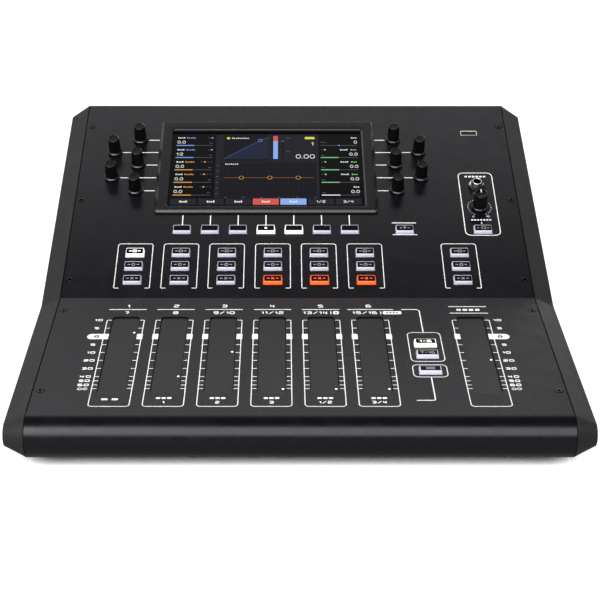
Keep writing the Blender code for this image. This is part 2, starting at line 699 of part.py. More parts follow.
def knob_mesh(name, scale):
    """A fluted, tapered knob with a flared skirt, moulded with its shaft."""
    skirt = KNOB_SKIRT_RADIUS * scale
    body = KNOB_BODY_RADIUS * scale
    cap = KNOB_CAP_RADIUS * scale
    body_low = KNOB_LIFT + KNOB_SKIRT + KNOB_FLARE
    body_high = KNOB_TOP - KNOB_DOME
    profile = [(0, KNOB_TOP - KNOB_DISH), (cap - KNOB_DOME, KNOB_TOP), (cap, body_high),
               (body, body_low), (skirt, KNOB_LIFT + KNOB_SKIRT), (skirt, KNOB_LIFT),
               (SHAFT_RADIUS, KNOB_LIFT),
               (SHAFT_RADIUS, -SHAFT_BOTTOM), (0, -SHAFT_BOTTOM)]
    mesh = turned_mesh(name, profile, KNOB_SIDES)
    sector = 2 * pi / KNOB_SIDES
    for v in mesh.vertices:
        if not body_low - TINY < v.co.z < body_high + TINY or v.co.xy.length < cap - KNOB_DOME:
            continue
        column = round(Vector((1, 0)).angle_signed(v.co.xy) / sector)
        if column % 2:
            v.co.xy *= 1 - KNOB_FLUTE / v.co.xy.length
    return mesh


def make_knobs():
    mesh = knob_mesh("encoder_knob", 1.0)
    for name, x, l in encoders():
        add_object(name, mesh, KNOB_PLASTIC, on_upper(x, l), UPPER_TILT)
    add_object("monitor_knob", knob_mesh("monitor_knob", MONITOR_SCALE), KNOB_PLASTIC,
               on_upper(MONITOR_X, MONITOR_L), UPPER_TILT)


# ---------------------------------------------------------------- screen and boards

def make_bezel():
    half_x = WINDOW_WIDTH / 2 + BEZEL_SIDE
    near = WINDOW_L - WINDOW_LENGTH / 2 - BEZEL_NEAR
    far = WINDOW_L + WINDOW_LENGTH / 2 + BEZEL_FAR
    half_l = (far - near) / 2
    middle = (far + near) / 2
    bm = bmesh.new()
    stack(bm, [(half_x, half_l, GAP), (half_x - BEZEL_DRAFT, half_l - BEZEL_DRAFT, BEZEL_HEIGHT)])
    upright = [e for e in bm.edges if abs(e.verts[0].co.z - e.verts[1].co.z) > BEZEL_HEIGHT / 2]
    bmesh.ops.bevel(bm, geom=upright, offset=BEZEL_CORNER, segments=4, profile=0.5,
                    affect="EDGES", material=-1)
    rim = [e for e in bm.edges if all(v.co.z > BEZEL_HEIGHT - TINY for v in e.verts)]
    bmesh.ops.bevel(bm, geom=rim, offset=BEZEL_EDGE, segments=BEZEL_EDGE_STEPS, profile=0.5,
                    affect="EDGES", material=-1)
    bezel = add_object("screen_bezel", finish_mesh(bm, "screen_bezel"), BEZEL_PLASTIC,
                       on_upper(SCREEN_X, middle), UPPER_TILT)
    bm = bmesh.new()
    half = (WINDOW_WIDTH / 2, WINDOW_LENGTH / 2)
    sections = [(half[0], half[1], -THROUGH)]
    for i in range(BEZEL_EDGE_STEPS + 1):
        a = pi / 2 * i / BEZEL_EDGE_STEPS
        flare = BEZEL_EDGE * (1 - cos(a))
        sections.append((half[0] + flare, half[1] + flare, BEZEL_HEIGHT - BEZEL_EDGE * (1 - sin(a))))
    flare = BEZEL_EDGE + TINY
    sections.append((half[0] + flare, half[1] + flare, BEZEL_HEIGHT + THROUGH))
    stack(bm, sections)
    boolean(bezel, add_cutter("bezel_window", finish_mesh(bm, "bezel_window"),
                              on_upper(SCREEN_X, WINDOW_L), UPPER_TILT), "DIFFERENCE")


def make_touchscreen():
    half = (WINDOW_WIDTH / 2 + GLASS_MARGIN, WINDOW_LENGTH / 2 + GLASS_MARGIN)
    module = (WINDOW_WIDTH / 2 + MODULE_MARGIN, WINDOW_LENGTH / 2 + MODULE_MARGIN)
    under = SHEET_UNDER
    bm = bmesh.new()
    stack(bm, [(*module, under - MODULE_THICKNESS), (*module, under), (*half, under),
               (*half, -GLASS_DEPTH)])
    add_object("touchscreen", finish_mesh(bm, "touchscreen"), GLASS,
               on_upper(SCREEN_X, WINDOW_L), UPPER_TILT)


def make_control_board():
    top = -CONTROL_BOARD_DEPTH
    half_x = HALF_WIDTH - CONTROL_BOARD_SIDE
    bm = bmesh.new()
    box(bm, (-half_x, CONTROL_BOARD_NEAR, top - BOARD),
        (half_x, UPPER_LENGTH - CONTROL_BOARD_FAR, top))
    board = add_object("control_board", finish_mesh(bm, "control_board"), BOARD_GREEN,
                       (0, FOLD_Y, FOLD_Z), UPPER_TILT)
    place = ((0, FOLD_Y, FOLD_Z), UPPER_TILT)

    bm = bmesh.new()
    rooted = top - BOARD / 2
    for _, x, l in upper_keys():
        box(bm, (x - SWITCH_SIDE / 2, l - SWITCH_SIDE / 2, rooted),
            (x + SWITCH_SIDE / 2, l + SWITCH_SIDE / 2, -SWITCH_TOP))
    turning = encoders() + [("monitor", MONITOR_X, MONITOR_L)]
    for _, x, l in turning:
        box(bm, (x - ENCODER_SIDE / 2, l - ENCODER_SIDE / 2, rooted),
            (x + ENCODER_SIDE / 2, l + ENCODER_SIDE / 2, -SWITCH_TOP))
    box(bm, (MONITOR_X - USB_WIDTH / 2, USB_L - USB_HEIGHT / 2, rooted),
        (MONITOR_X + USB_WIDTH / 2, USB_L + USB_HEIGHT / 2, -USB_RECESS))
    boolean(board, add_cutter("board_bodies", finish_mesh(bm, "board_bodies"), *place), "UNION")

    bm = bmesh.new()
    for _, x, l in turning:
        cylinder(bm, (x, l), BUSHING_RADIUS, -SWITCH_TOP - ROOT, BUSHING_RISE, BORE_SIDES)
    boolean(board, add_cutter("bushings", finish_mesh(bm, "bushings"), *place), "UNION")

    bm = bmesh.new()
    for _, x, l in turning:
        cylinder(bm, (x, l), SHAFT_RADIUS + GAP, -SHAFT_BOTTOM - GAP, THROUGH, BORE_SIDES)
    box(bm, (MONITOR_X - USB_WIDTH / 2 + USB_SHELL, USB_L - USB_HEIGHT / 2 + USB_SHELL, -USB_FLOOR),
        (MONITOR_X + USB_WIDTH / 2 - USB_SHELL, USB_L + USB_HEIGHT / 2 - USB_SHELL, THROUGH))
    clear = JACK_BODY / 2 + GAP
    box(bm, (MONITOR_X - clear, PHONES_L - clear, top - BOARD - THROUGH),
        (MONITOR_X + clear, PHONES_L + clear, top + THROUGH))
    boolean(board, add_cutter("board_bores", finish_mesh(bm, "board_bores"), *place), "DIFFERENCE")


def make_phones_jack():
    under = SHEET_UNDER
    half = JACK_BODY / 2
    bm = bmesh.new()
    box(bm, (-half, -half, -JACK_DEPTH), (half, half, under))
    jack = add_object("phones_jack", finish_mesh(bm, "phones_jack"), CHROME,
                      on_upper(MONITOR_X, PHONES_L), UPPER_TILT)
    place = (on_upper(MONITOR_X, PHONES_L), UPPER_TILT)
    bm = bmesh.new()
    cylinder(bm, (0, 0), BUSHING_RADIUS, under - ROOT, JACK_RISE, JACK_SIDES)
    boolean(jack, add_cutter("jack_bushing", finish_mesh(bm, "jack_bushing"), *place), "UNION")
    bm = bmesh.new()
    cylinder(bm, (0, 0), JACK_NUT_RADIUS, GAP, JACK_NUT_HEIGHT, HEX_SIDES)
    boolean(jack, add_cutter("jack_nut", finish_mesh(bm, "jack_nut"), *place), "UNION")
    bm = bmesh.new()
    cylinder(bm, (0, 0), JACK_BORE_RADIUS, -JACK_BORE_DEPTH, JACK_RISE + THROUGH, JACK_SIDES)
    boolean(jack, add_cutter("jack_bore", finish_mesh(bm, "jack_bore"), *place), "DIFFERENCE")


def make_fader_board():
    top = -FADER_BOARD_DEPTH
    place = ((0, FOLD_Y, FOLD_Z), LOWER_TILT)
    low_x = COLUMNS[0] - STRIP_WIDTH / 2 - FADER_BOARD_MARGIN
    high_x = COLUMNS[-1] + STRIP_WIDTH / 2 + FADER_BOARD_MARGIN
    half_l = STRIP_LENGTH / 2
    bm = bmesh.new()
    box(bm, (low_x, STRIP_L - half_l - FADER_BOARD_MARGIN, top - BOARD),
        (high_x, STRIP_L + half_l + FADER_BOARD_MARGIN, top))
    board = add_object("touch_fader_board", finish_mesh(bm, "touch_fader_board"), STRIP_PLASTIC,
                       *place)
    bm = bmesh.new()
    for x in COLUMNS:
        box(bm, (x - STRIP_WIDTH / 2 + GAP, STRIP_L - half_l + GAP, top - BOARD / 2),
            (x + STRIP_WIDTH / 2 - GAP, STRIP_L + half_l - GAP, -STRIP_RECESS), STRIP_CORNER - GAP)
    for _, x, l in bank_keys():
        box(bm, (x - SWITCH_SIDE / 2, l - SWITCH_SIDE / 2, top - BOARD / 2),
            (x + SWITCH_SIDE / 2, l + SWITCH_SIDE / 2, -SWITCH_TOP))
    boolean(board, add_cutter("strips", finish_mesh(bm, "strips"), *place), "UNION")


# ---------------------------------------------------------------- rear sockets and mains

def make_rear_board():
    inside = WALL_IN - GAP
    board_out = inside - SOCKET_DEPTH
    face = WALL_OUT + SOCKET_PROUD
    half = SOCKET_SIDE / 2
    low_x = min(LINE_X + INPUT_X) - half - REAR_BOARD_MARGIN
    high_x = SOCKET_X + half + REAR_BOARD_MARGIN
    bm = bmesh.new()
    box(bm, (low_x, board_out - BOARD, OUTPUT_Z - half - REAR_BOARD_MARGIN),
        (high_x, board_out, INPUT_Z + half + REAR_BOARD_MARGIN))
    board = add_object("rear_jack_board", finish_mesh(bm, "rear_jack_board"), SOCKET_PLASTIC)

    rooted = board_out - BOARD / 2
    rounds = [(x, INPUT_Z) for x in INPUT_X] + [(x, OUTPUT_Z) for x in OUTPUT_X]
    bm = bmesh.new()
    for x, z in rounds:
        box(bm, (x - half, rooted, z - half), (x + half, inside, z + half))
    for x in LINE_X:
        box(bm, (x - LINE_SIDE / 2, rooted, OUTPUT_Z - LINE_SIDE / 2),
            (x + LINE_SIDE / 2, inside, OUTPUT_Z + LINE_SIDE / 2))
    boolean(board, add_cutter("socket_bodies", finish_mesh(bm, "socket_bodies")), "UNION")

    bm = bmesh.new()
    for x, z in rounds:
        cylinder(bm, (x, z), SOCKET_FACE_RADIUS, inside - ROOT, face, SOCKET_SIDES, along="Y")
    for x in LINE_X:
        cylinder(bm, (x, OUTPUT_Z), BUSHING_RADIUS, inside - ROOT, WALL_OUT + GAP + LINE_NUT / 2,
                 BORE_SIDES, along="Y")
    boolean(board, add_cutter("socket_faces", finish_mesh(bm, "socket_faces")), "UNION")

    bm = bmesh.new()
    for x in LINE_X:
        cylinder(bm, (x, OUTPUT_Z), LINE_NUT_RADIUS, WALL_OUT + GAP, WALL_OUT + GAP + LINE_NUT,
                 HEX_SIDES, along="Y")
    boolean(board, add_cutter("line_nuts", finish_mesh(bm, "line_nuts")), "UNION")

    bm = bmesh.new()
    for x in INPUT_X:
        cylinder(bm, (x, INPUT_Z), JACK_BORE_RADIUS, face - JACK_BORE_DEPTH, face + THROUGH,
                 BORE_SIDES, along="Y")
    for x in OUTPUT_X:
        cylinder(bm, (x, OUTPUT_Z), OUTPUT_CUP_RADIUS, face - OUTPUT_CUP_DEPTH, face + THROUGH,
                 SOCKET_SIDES, along="Y")
    for x in LINE_X:
        cylinder(bm, (x, OUTPUT_Z), JACK_BORE_RADIUS, face - JACK_BORE_DEPTH, face + THROUGH,
                 BORE_SIDES, along="Y")
    boolean(board, add_cutter("socket_bores", finish_mesh(bm, "socket_bores")), "DIFFERENCE")


def rocker_house():
    """Half width and half height of the switch housing."""
    return ROCKER_WIDTH / 2 + GAP + ROCKER_WALL, ROCKER_RADIUS + GAP + ROCKER_WALL


def make_power_supply():
    board_low = TRAY_TOP + SUPPLY_BOARD_LIFT
    inside = WALL_IN - GAP
    low_x = -HALF_WIDTH + SUPPLY_SIDE
    high_x = ROCKER_X + rocker_house()[0] + SUPPLY_PAST_SWITCH
    near_y = inside - SUPPLY_LENGTH
    bm = bmesh.new()
    box(bm, (low_x, near_y, board_low), (high_x, inside, board_low + BOARD))
    supply = add_object("power_supply", finish_mesh(bm, "power_supply"), SOCKET_PLASTIC)

    rooted = board_low + BOARD / 2
    top = board_low + BOARD
    housings = [(INLET_X, INLET_WIDTH / 2, INLET_HEIGHT / 2), (ROCKER_X, *rocker_house())]
    bm = bmesh.new()
    for x, half_x, half_z in housings:
        box(bm, (x - half_x, WALL_OUT - INLET_DEPTH, rooted), (x + half_x, inside, INLET_Z + half_z))
    for x in (low_x + SPACER_INSET, high_x - SPACER_INSET):
        for y in (near_y + SPACER_INSET, inside - SPACER_INSET):
            cylinder(bm, (x, y), SPACER_RADIUS, TRAY_TOP + GAP, rooted, BORE_SIDES)
    core = (low_x + CORE_LOW[0], near_y + CORE_LOW[1])
    box(bm, (*core, rooted), (core[0] + CORE_SIZE[0], core[1] + CORE_SIZE[1], top + CORE_SIZE[2]))
    cylinder(bm, (high_x - CAN_PLACE[0], near_y + CAN_PLACE[1]), CAN_RADIUS, rooted,
             top + CAN_HEIGHT, SOCKET_SIDES)
    boolean(supply, add_cutter("supply_bodies", finish_mesh(bm, "supply_bodies")), "UNION")

    rim_low = WALL_OUT + GAP
    bm = bmesh.new()
    for x, half_x, half_z in housings:
        box(bm, (x - half_x, inside - ROOT, INLET_Z - half_z),
            (x + half_x, rim_low + RIM_PROUD / 2, INLET_Z + half_z))
    boolean(supply, add_cutter("supply_necks", finish_mesh(bm, "supply_necks")), "UNION")

    bm = bmesh.new()
    for x, half_x, half_z in housings:
        box(bm, (x - half_x - INLET_RIM, rim_low, INLET_Z - half_z - INLET_RIM),
            (x + half_x + INLET_RIM, rim_low + RIM_PROUD, INLET_Z + half_z + INLET_RIM))
    boolean(supply, add_cutter("supply_rims", finish_mesh(bm, "supply_rims")), "UNION")

    bm = bmesh.new()
    box(bm, (INLET_X - INLET_CUP[0] / 2, WALL_OUT - INLET_CUP_DEPTH, INLET_Z - INLET_CUP[1] / 2),
        (INLET_X + INLET_CUP[0] / 2, WALL_OUT + THROUGH, INLET_Z + INLET_CUP[1] / 2))
    box(bm, (ROCKER_X - ROCKER_WIDTH / 2 - GAP, WALL_OUT - ROCKER_SINK - ROCKER_RADIUS,
             INLET_Z - ROCKER_RADIUS - GAP),
        (ROCKER_X + ROCKER_WIDTH / 2 + GAP, WALL_OUT + THROUGH, INLET_Z + ROCKER_RADIUS + GAP))
    boolean(supply, add_cutter("supply_cups", finish_mesh(bm, "supply_cups")), "DIFFERENCE")


def make_rocker():
    """The switch rocker: round ends about its pivot, a shallow V of a face, lower half out."""
    front = acos(ROCKER_VALLEY * cos(ROCKER_TILT) / ROCKER_RADIUS) - ROCKER_TILT
    back = pi - acos(ROCKER_HALF / ROCKER_RADIUS)
    angles = [front + (back - front) * i / ROCKER_STEPS for i in range(ROCKER_STEPS + 1)]
    outline = [Vector((ROCKER_VALLEY, 0))]
    outline += [ROCKER_RADIUS * Vector((cos(a), sin(a))) for a in angles]
    outline += [ROCKER_RADIUS * Vector((cos(a), -sin(a))) for a in reversed(angles)]
    half = ROCKER_WIDTH / 2
    add_object("power_rocker", loft_mesh("power_rocker", [(-half, outline), (half, outline)]),
               KNOB_PLASTIC, (ROCKER_X, WALL_OUT - ROCKER_SINK, INLET_Z), ROCKER_TILT)


clear_scene()
PARTS = collection("mixing_console")
CUTTERS = collection("cutters")
BLACK_PAINT = material("black_paint", (0.022, 0.022, 0.024), 0.42)
CHEEK_PLASTIC = material("cheek_plastic", (0.030, 0.030, 0.030), 0.55)
BEZEL_PLASTIC = material("bezel_plastic", (0.028, 0.028, 0.028), 0.48)
KNOB_PLASTIC = material("knob_plastic", (0.010, 0.010, 0.010), 0.40)
KEY_PLASTIC = material("key_plastic", (0.620, 0.620, 0.700), 0.45)
STRIP_PLASTIC = material("strip_plastic", (0.055, 0.055, 0.058), 0.40)
SOCKET_PLASTIC = material("socket_plastic", (0.012, 0.012, 0.012), 0.50)
BOARD_GREEN = material("board_green", (0.010, 0.090, 0.040), 0.45)
GLASS = material("screen_glass", (0.004, 0.004, 0.005), 0.08)
CHROME = material("chrome", (0.720, 0.700, 0.660), 0.12, 1.0)
RUBBER = material("rubber", (0.015, 0.015, 0.015), 0.80)

make_top_panel()
make_cheek("left_cheek", -1)
make_cheek("right_cheek", 1)
make_tray()
make_feet()
make_keys()
make_knobs()
make_bezel()
make_touchscreen()
make_control_board()
make_phones_jack()
make_fader_board()
make_rear_board()
make_power_supply()
make_rocker()
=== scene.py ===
import json
import math
from math import cos, pi, radians, sin

import bmesh
import bpy
from mathutils import Matrix, Vector

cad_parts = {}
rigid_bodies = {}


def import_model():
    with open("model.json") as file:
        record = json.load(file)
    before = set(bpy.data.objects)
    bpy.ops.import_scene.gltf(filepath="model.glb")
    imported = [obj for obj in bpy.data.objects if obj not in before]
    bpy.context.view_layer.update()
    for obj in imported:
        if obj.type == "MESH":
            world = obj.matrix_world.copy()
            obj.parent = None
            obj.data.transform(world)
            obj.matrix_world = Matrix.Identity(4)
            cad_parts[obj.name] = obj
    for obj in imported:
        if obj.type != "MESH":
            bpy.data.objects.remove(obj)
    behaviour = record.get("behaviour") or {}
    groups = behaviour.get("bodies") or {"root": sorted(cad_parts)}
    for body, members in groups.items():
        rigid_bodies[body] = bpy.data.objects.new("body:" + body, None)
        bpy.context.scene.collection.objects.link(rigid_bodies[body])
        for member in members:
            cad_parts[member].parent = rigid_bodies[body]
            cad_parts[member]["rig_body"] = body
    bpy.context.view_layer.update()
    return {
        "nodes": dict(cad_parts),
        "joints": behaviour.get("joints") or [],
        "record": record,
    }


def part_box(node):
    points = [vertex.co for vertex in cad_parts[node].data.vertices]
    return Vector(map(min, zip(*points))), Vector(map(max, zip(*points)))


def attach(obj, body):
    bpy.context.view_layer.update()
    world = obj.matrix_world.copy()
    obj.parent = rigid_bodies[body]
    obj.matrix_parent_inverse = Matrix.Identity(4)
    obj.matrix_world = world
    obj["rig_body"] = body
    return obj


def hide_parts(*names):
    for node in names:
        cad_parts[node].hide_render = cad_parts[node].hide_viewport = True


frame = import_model()
scene = bpy.context.scene
nodes = frame["nodes"]
mm = 0.001
print("frame loaded:", len(nodes), "nodes")


# the two faces of the top, worked out from the frame

def joint(name):
    return next(j for j in frame["joints"] if j["name"] == name)


upperNormal = Vector(joint("encoder_knob_left_1_turn")["axis"])
lowerNormal = -Vector(joint("bank_button_1_press")["axis"])
upperReach = upperNormal.dot(Vector(joint("encoder_knob_left_1_turn")["pos_m"]))
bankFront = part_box("bank_button_3")[0].y
lowerReach = max(v.co.dot(lowerNormal) for v in nodes["top_panel"].data.vertices if v.co.y < bankFront)
cross = upperNormal.y * lowerNormal.z - upperNormal.z * lowerNormal.y
fold = Vector((0, (upperReach * lowerNormal.z - lowerReach * upperNormal.z) / cross,
               (upperNormal.y * lowerReach - lowerNormal.y * upperReach) / cross))


def faceFrame(normal):
    # millimetres on a face (x across, l up the slope from the fold, h out of it) to metres
    along = normal.cross(Vector((1, 0, 0)))
    turn = Matrix((Vector((1, 0, 0)), along, normal)).transposed().to_4x4()
    return Matrix.Translation(fold) @ turn @ Matrix.Scale(mm, 4)


upper = faceFrame(upperNormal)
lower = faceFrame(lowerNormal)


def onFace(face, node):
    # middle of a node's box, in a face's own millimetres
    low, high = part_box(node)
    return face.inverted() @ ((low + high) / 2)


# camera, floor and lights

view = dict(x=-11.94, ahead=877, above=389.3, pitch=24.0, lens=79.6, shift=0.0317, sensor=36,
            nearest=0.01)


def setCamera():
    camera = bpy.data.objects.new("camera", bpy.data.cameras.new("camera"))
    scene.collection.objects.link(camera)
    camera.location = fold + Vector((view["x"], -view["ahead"], view["above"])) * mm
    camera.rotation_euler = (radians(90 - view["pitch"]), 0, 0)
    camera.data.lens = view["lens"]
    camera.data.sensor_width = view["sensor"]
    camera.data.shift_x = view["shift"]
    camera.data.clip_start = view["nearest"]
    scene.camera = camera


studio = dict(
    floorSize=12.0, floorColour=0.28, floorRough=0.9, floorGlow=0.95,
    glowReach=0.02, glowFrom=0.15, glowTo=0.33, glowSamples=16,
    worldDiffuse=0.42, wall=0.60, ceiling=0.015, front=0.30, frontFrom=-0.35, frontTo=0.15,
    wallSide=0.15, wallAcross=(1.22, 0.72),
    wallTop=0.48, ceilingLow=0.72,  # heights at which the wall ends and the dark ceiling begins
    lamps=[  # name, place, aim, width, height, watts, seen in gloss
        ("front", (-0.15, -1.26, 0.95), (0, -0.15, 0.05), 1.9, 1.04, 29.0, True),
        ("frontLeft", (-0.95, -1.22, 0.95), (-0.1, -0.15, 0.05), 1.0, 1.0, 13.0, True),
        ("top", (-0.1, 0.1, 1.6), (0, 0, 0.05), 1.4, 1.4, 5.0, False),
        ("rear", (-0.5, 1.2, 1.5), (-0.5, 1.2, 0), 2.4, 1.1, 10.2, True),
        ("behind", (0.5, 1.9, 0.60), (0, 0.18, 0.06), 1.6, 0.4, 10.0, True),
        ("left", (-1.5, -0.5, 0.9), (0, 0, 0.05), 0.8, 0.8, 3.0, True),
        ("right", (1.5, -0.5, 0.9), (0, 0, 0.05), 0.8, 0.8, 3.0, True)])


def addMath(tree, operation, *values):
    # a Math node fed with sockets or plain numbers
    step = tree.nodes.new("ShaderNodeMath")
    step.operation = operation
    for i, value in enumerate(values):
        if isinstance(value, (int, float)):
            step.inputs[i].default_value = value
        else:
            tree.links.new(value, step.inputs[i])
    return step.outputs[0]


def addRamp(tree, value, fromLow, fromHigh, toLow, toHigh):
    ramp = tree.nodes.new("ShaderNodeMapRange")
    limits = {"From Min": fromLow, "From Max": fromHigh, "To Min": toLow, "To Max": toHigh}
    for socket, limit in limits.items():
        ramp.inputs[socket].default_value = limit
    tree.links.new(value, ramp.inputs["Value"])
    return ramp.outputs[0]


def seenDirectly(tree, path):
    # 1 for what the camera, gloss or glass sees, 0 for what only lights
    near = addMath(tree, "MAXIMUM", path.outputs["Is Camera Ray"], path.outputs["Is Glossy Ray"])
    return addMath(tree, "MAXIMUM", near, path.outputs["Is Transmission Ray"])


def makeWorld():
    world = bpy.data.worlds.new("studio")
    scene.world = world
    world.use_nodes = True
    tree = world.node_tree
    light = tree.nodes["Background"]
    path = tree.nodes.new("ShaderNodeLightPath")
    place = tree.nodes.new("ShaderNodeTexCoord")
    split = tree.nodes.new("ShaderNodeSeparateXYZ")
    tree.links.new(place.outputs["Generated"], split.inputs[0])
    wall = addRamp(tree, split.outputs["Z"], studio["wallTop"], studio["ceilingLow"],
                   studio["wall"], studio["ceiling"])  # bright wall low down, dark ceiling
    behind = addRamp(tree, split.outputs["Y"], studio["frontFrom"], studio["frontTo"],
                     studio["front"], 1.0)
    across = addRamp(tree, split.outputs["X"], -studio["wallSide"], studio["wallSide"],
                     *studio["wallAcross"])  # a little brighter on the left
    stands = addMath(tree, "MULTIPLY", wall, behind)  # the wall stands behind, not round the camera
    gloss = addMath(tree, "MULTIPLY", stands, across)
    seen = addMath(tree, "MAXIMUM", gloss, path.outputs["Is Camera Ray"])
    direct = seenDirectly(tree, path)
    lighting = addMath(tree, "MULTIPLY", addMath(tree, "SUBTRACT", 1.0, direct),
                       studio["worldDiffuse"])
    strength = addMath(tree, "MULTIPLY_ADD", seen, direct, lighting)
    tree.links.new(strength, light.inputs["Strength"])
    light.inputs["Color"].default_value = (1, 1, 1, 1)


def newFinish(name, colour, roughness, specular=0.5, metallic=0.0):
    finish = bpy.data.materials.new(name)
    finish.use_nodes = True
    shader = finish.node_tree.nodes["Principled BSDF"]
    shader.inputs["Base Color"].default_value = (*asColour(colour), 1)
    shader.inputs["Roughness"].default_value = roughness
    shader.inputs["Metallic"].default_value = metallic
    shader.inputs["Specular IOR Level"].default_value = specular
    return finish


def asColour(value):
    # a plain number stands for a grey
    return value if isinstance(value, tuple) else (value, value, value)


def makeFloor():
    bm = bmesh.new()
    bmesh.ops.create_grid(bm, x_segments=1, y_segments=1, size=studio["floorSize"] / 2)
    mesh = bpy.data.meshes.new("floor")
    bm.to_mesh(mesh)
    bm.free()
    floor = bpy.data.objects.new("floor", mesh)
    scene.collection.objects.link(floor)
    finish = newFinish("floorPaint", studio["floorColour"], studio["floorRough"], 0.0)
    tree = finish.node_tree
    shader = tree.nodes["Principled BSDF"]
    shader.inputs["Emission Color"].default_value = (1, 1, 1, 1)
    path = tree.nodes.new("ShaderNodeLightPath")
    hidden = tree.nodes.new("ShaderNodeAmbientOcclusion")  # keeps the shadow where the object stands
    hidden.samples = studio["glowSamples"]
    hidden.inputs["Distance"].default_value = studio["glowReach"]
    bare = addRamp(tree, hidden.outputs["AO"], studio["glowFrom"], studio["glowTo"], 0.0,
                   studio["floorGlow"])
    glow = addMath(tree, "MULTIPLY", bare, path.outputs["Is Camera Ray"])
    tree.links.new(glow, shader.inputs["Emission Strength"])
    mesh.materials.append(finish)


def makeLamps():
    for name, place, aim, width, height, watts, gloss in studio["lamps"]:
        light = bpy.data.lights.new(name + "Lamp", "AREA")
        light.shape = "RECTANGLE"
        light.size = width
        light.size_y = height
        light.energy = watts
        lamp = bpy.data.objects.new(name + "Lamp", light)
        scene.collection.objects.link(lamp)
        lamp.location = place
        lamp.rotation_euler = (Vector(place) - Vector(aim)).to_track_quat("Z", "Y").to_euler()
        lamp.visible_camera = False
        lamp.visible_glossy = gloss


setCamera()
makeWorld()
makeFloor()
makeLamps()
scene.view_settings.view_transform = "Standard"
print("camera, floor and lights ready")


# finishes

def addNoise(finish, scale, detail=2.0):
    # noise on the piece's own coordinates; scale is in grains a metre
    tree = finish.node_tree
    place = tree.nodes.new("ShaderNodeTexCoord")
    noise = tree.nodes.new("ShaderNodeTexNoise")
    noise.inputs["Scale"].default_value = scale
    noise.inputs["Detail"].default_value = detail
    tree.links.new(place.outputs["Object"], noise.inputs["Vector"])
    return noise


def addBump(finish, noise, depth):
    tree = finish.node_tree
    bump = tree.nodes.new("ShaderNodeBump")
    bump.inputs["Distance"].default_value = depth
    bump.inputs["Strength"].default_value = 1.0
    tree.links.new(noise.outputs["Fac"], bump.inputs["Height"])
    tree.links.new(bump.outputs["Normal"], tree.nodes["Principled BSDF"].inputs["Normal"])


def vary(finish, noise, socket, low, high, spread=0.18):
    # a colour or value that wanders between low and high with the noise
    tree = finish.node_tree
    target = tree.nodes["Principled BSDF"].inputs[socket]
    ends = (0.0, 1.0) if socket == "Base Color" else (low, high)
    share = addRamp(tree, noise.outputs["Fac"], 0.5 - spread, 0.5 + spread, *ends)
    if socket == "Base Color":
        blend = tree.nodes.new("ShaderNodeMix")
        blend.data_type = "RGBA"
        blend.inputs[6].default_value = (*asColour(low), 1)
        blend.inputs[7].default_value = (*asColour(high), 1)
        tree.links.new(share, blend.inputs[0])
        share = blend.outputs[2]
    tree.links.new(share, target)


def textured(name, dark, light, rough, grain, depth, specular=0.5, metallic=0.0):
    # a solid finish with a fine grain: two close colours, two roughnesses and a bump
    finish = newFinish(name, light, rough[0], specular, metallic)
    fine = addNoise(finish, grain)
    vary(finish, fine, "Base Color", dark, light)
    vary(finish, addNoise(finish, grain / 30, 3.0), "Roughness", *rough)
    addBump(finish, fine, depth)
    return finish


def glowing(name, colour, light, strength, rough=0.4, specular=0.5):
    # translucent plastic or a dot of the display with a lamp behind it
    finish = newFinish(name, colour, rough, specular)
    shader = finish.node_tree.nodes["Principled BSDF"]
    shader.inputs["Emission Color"].default_value = (*light, 1)
    shader.inputs["Emission Strength"].default_value = strength
    vary(finish, addNoise(finish, 1500), "Roughness", rough, rough + 0.1)
    return finish


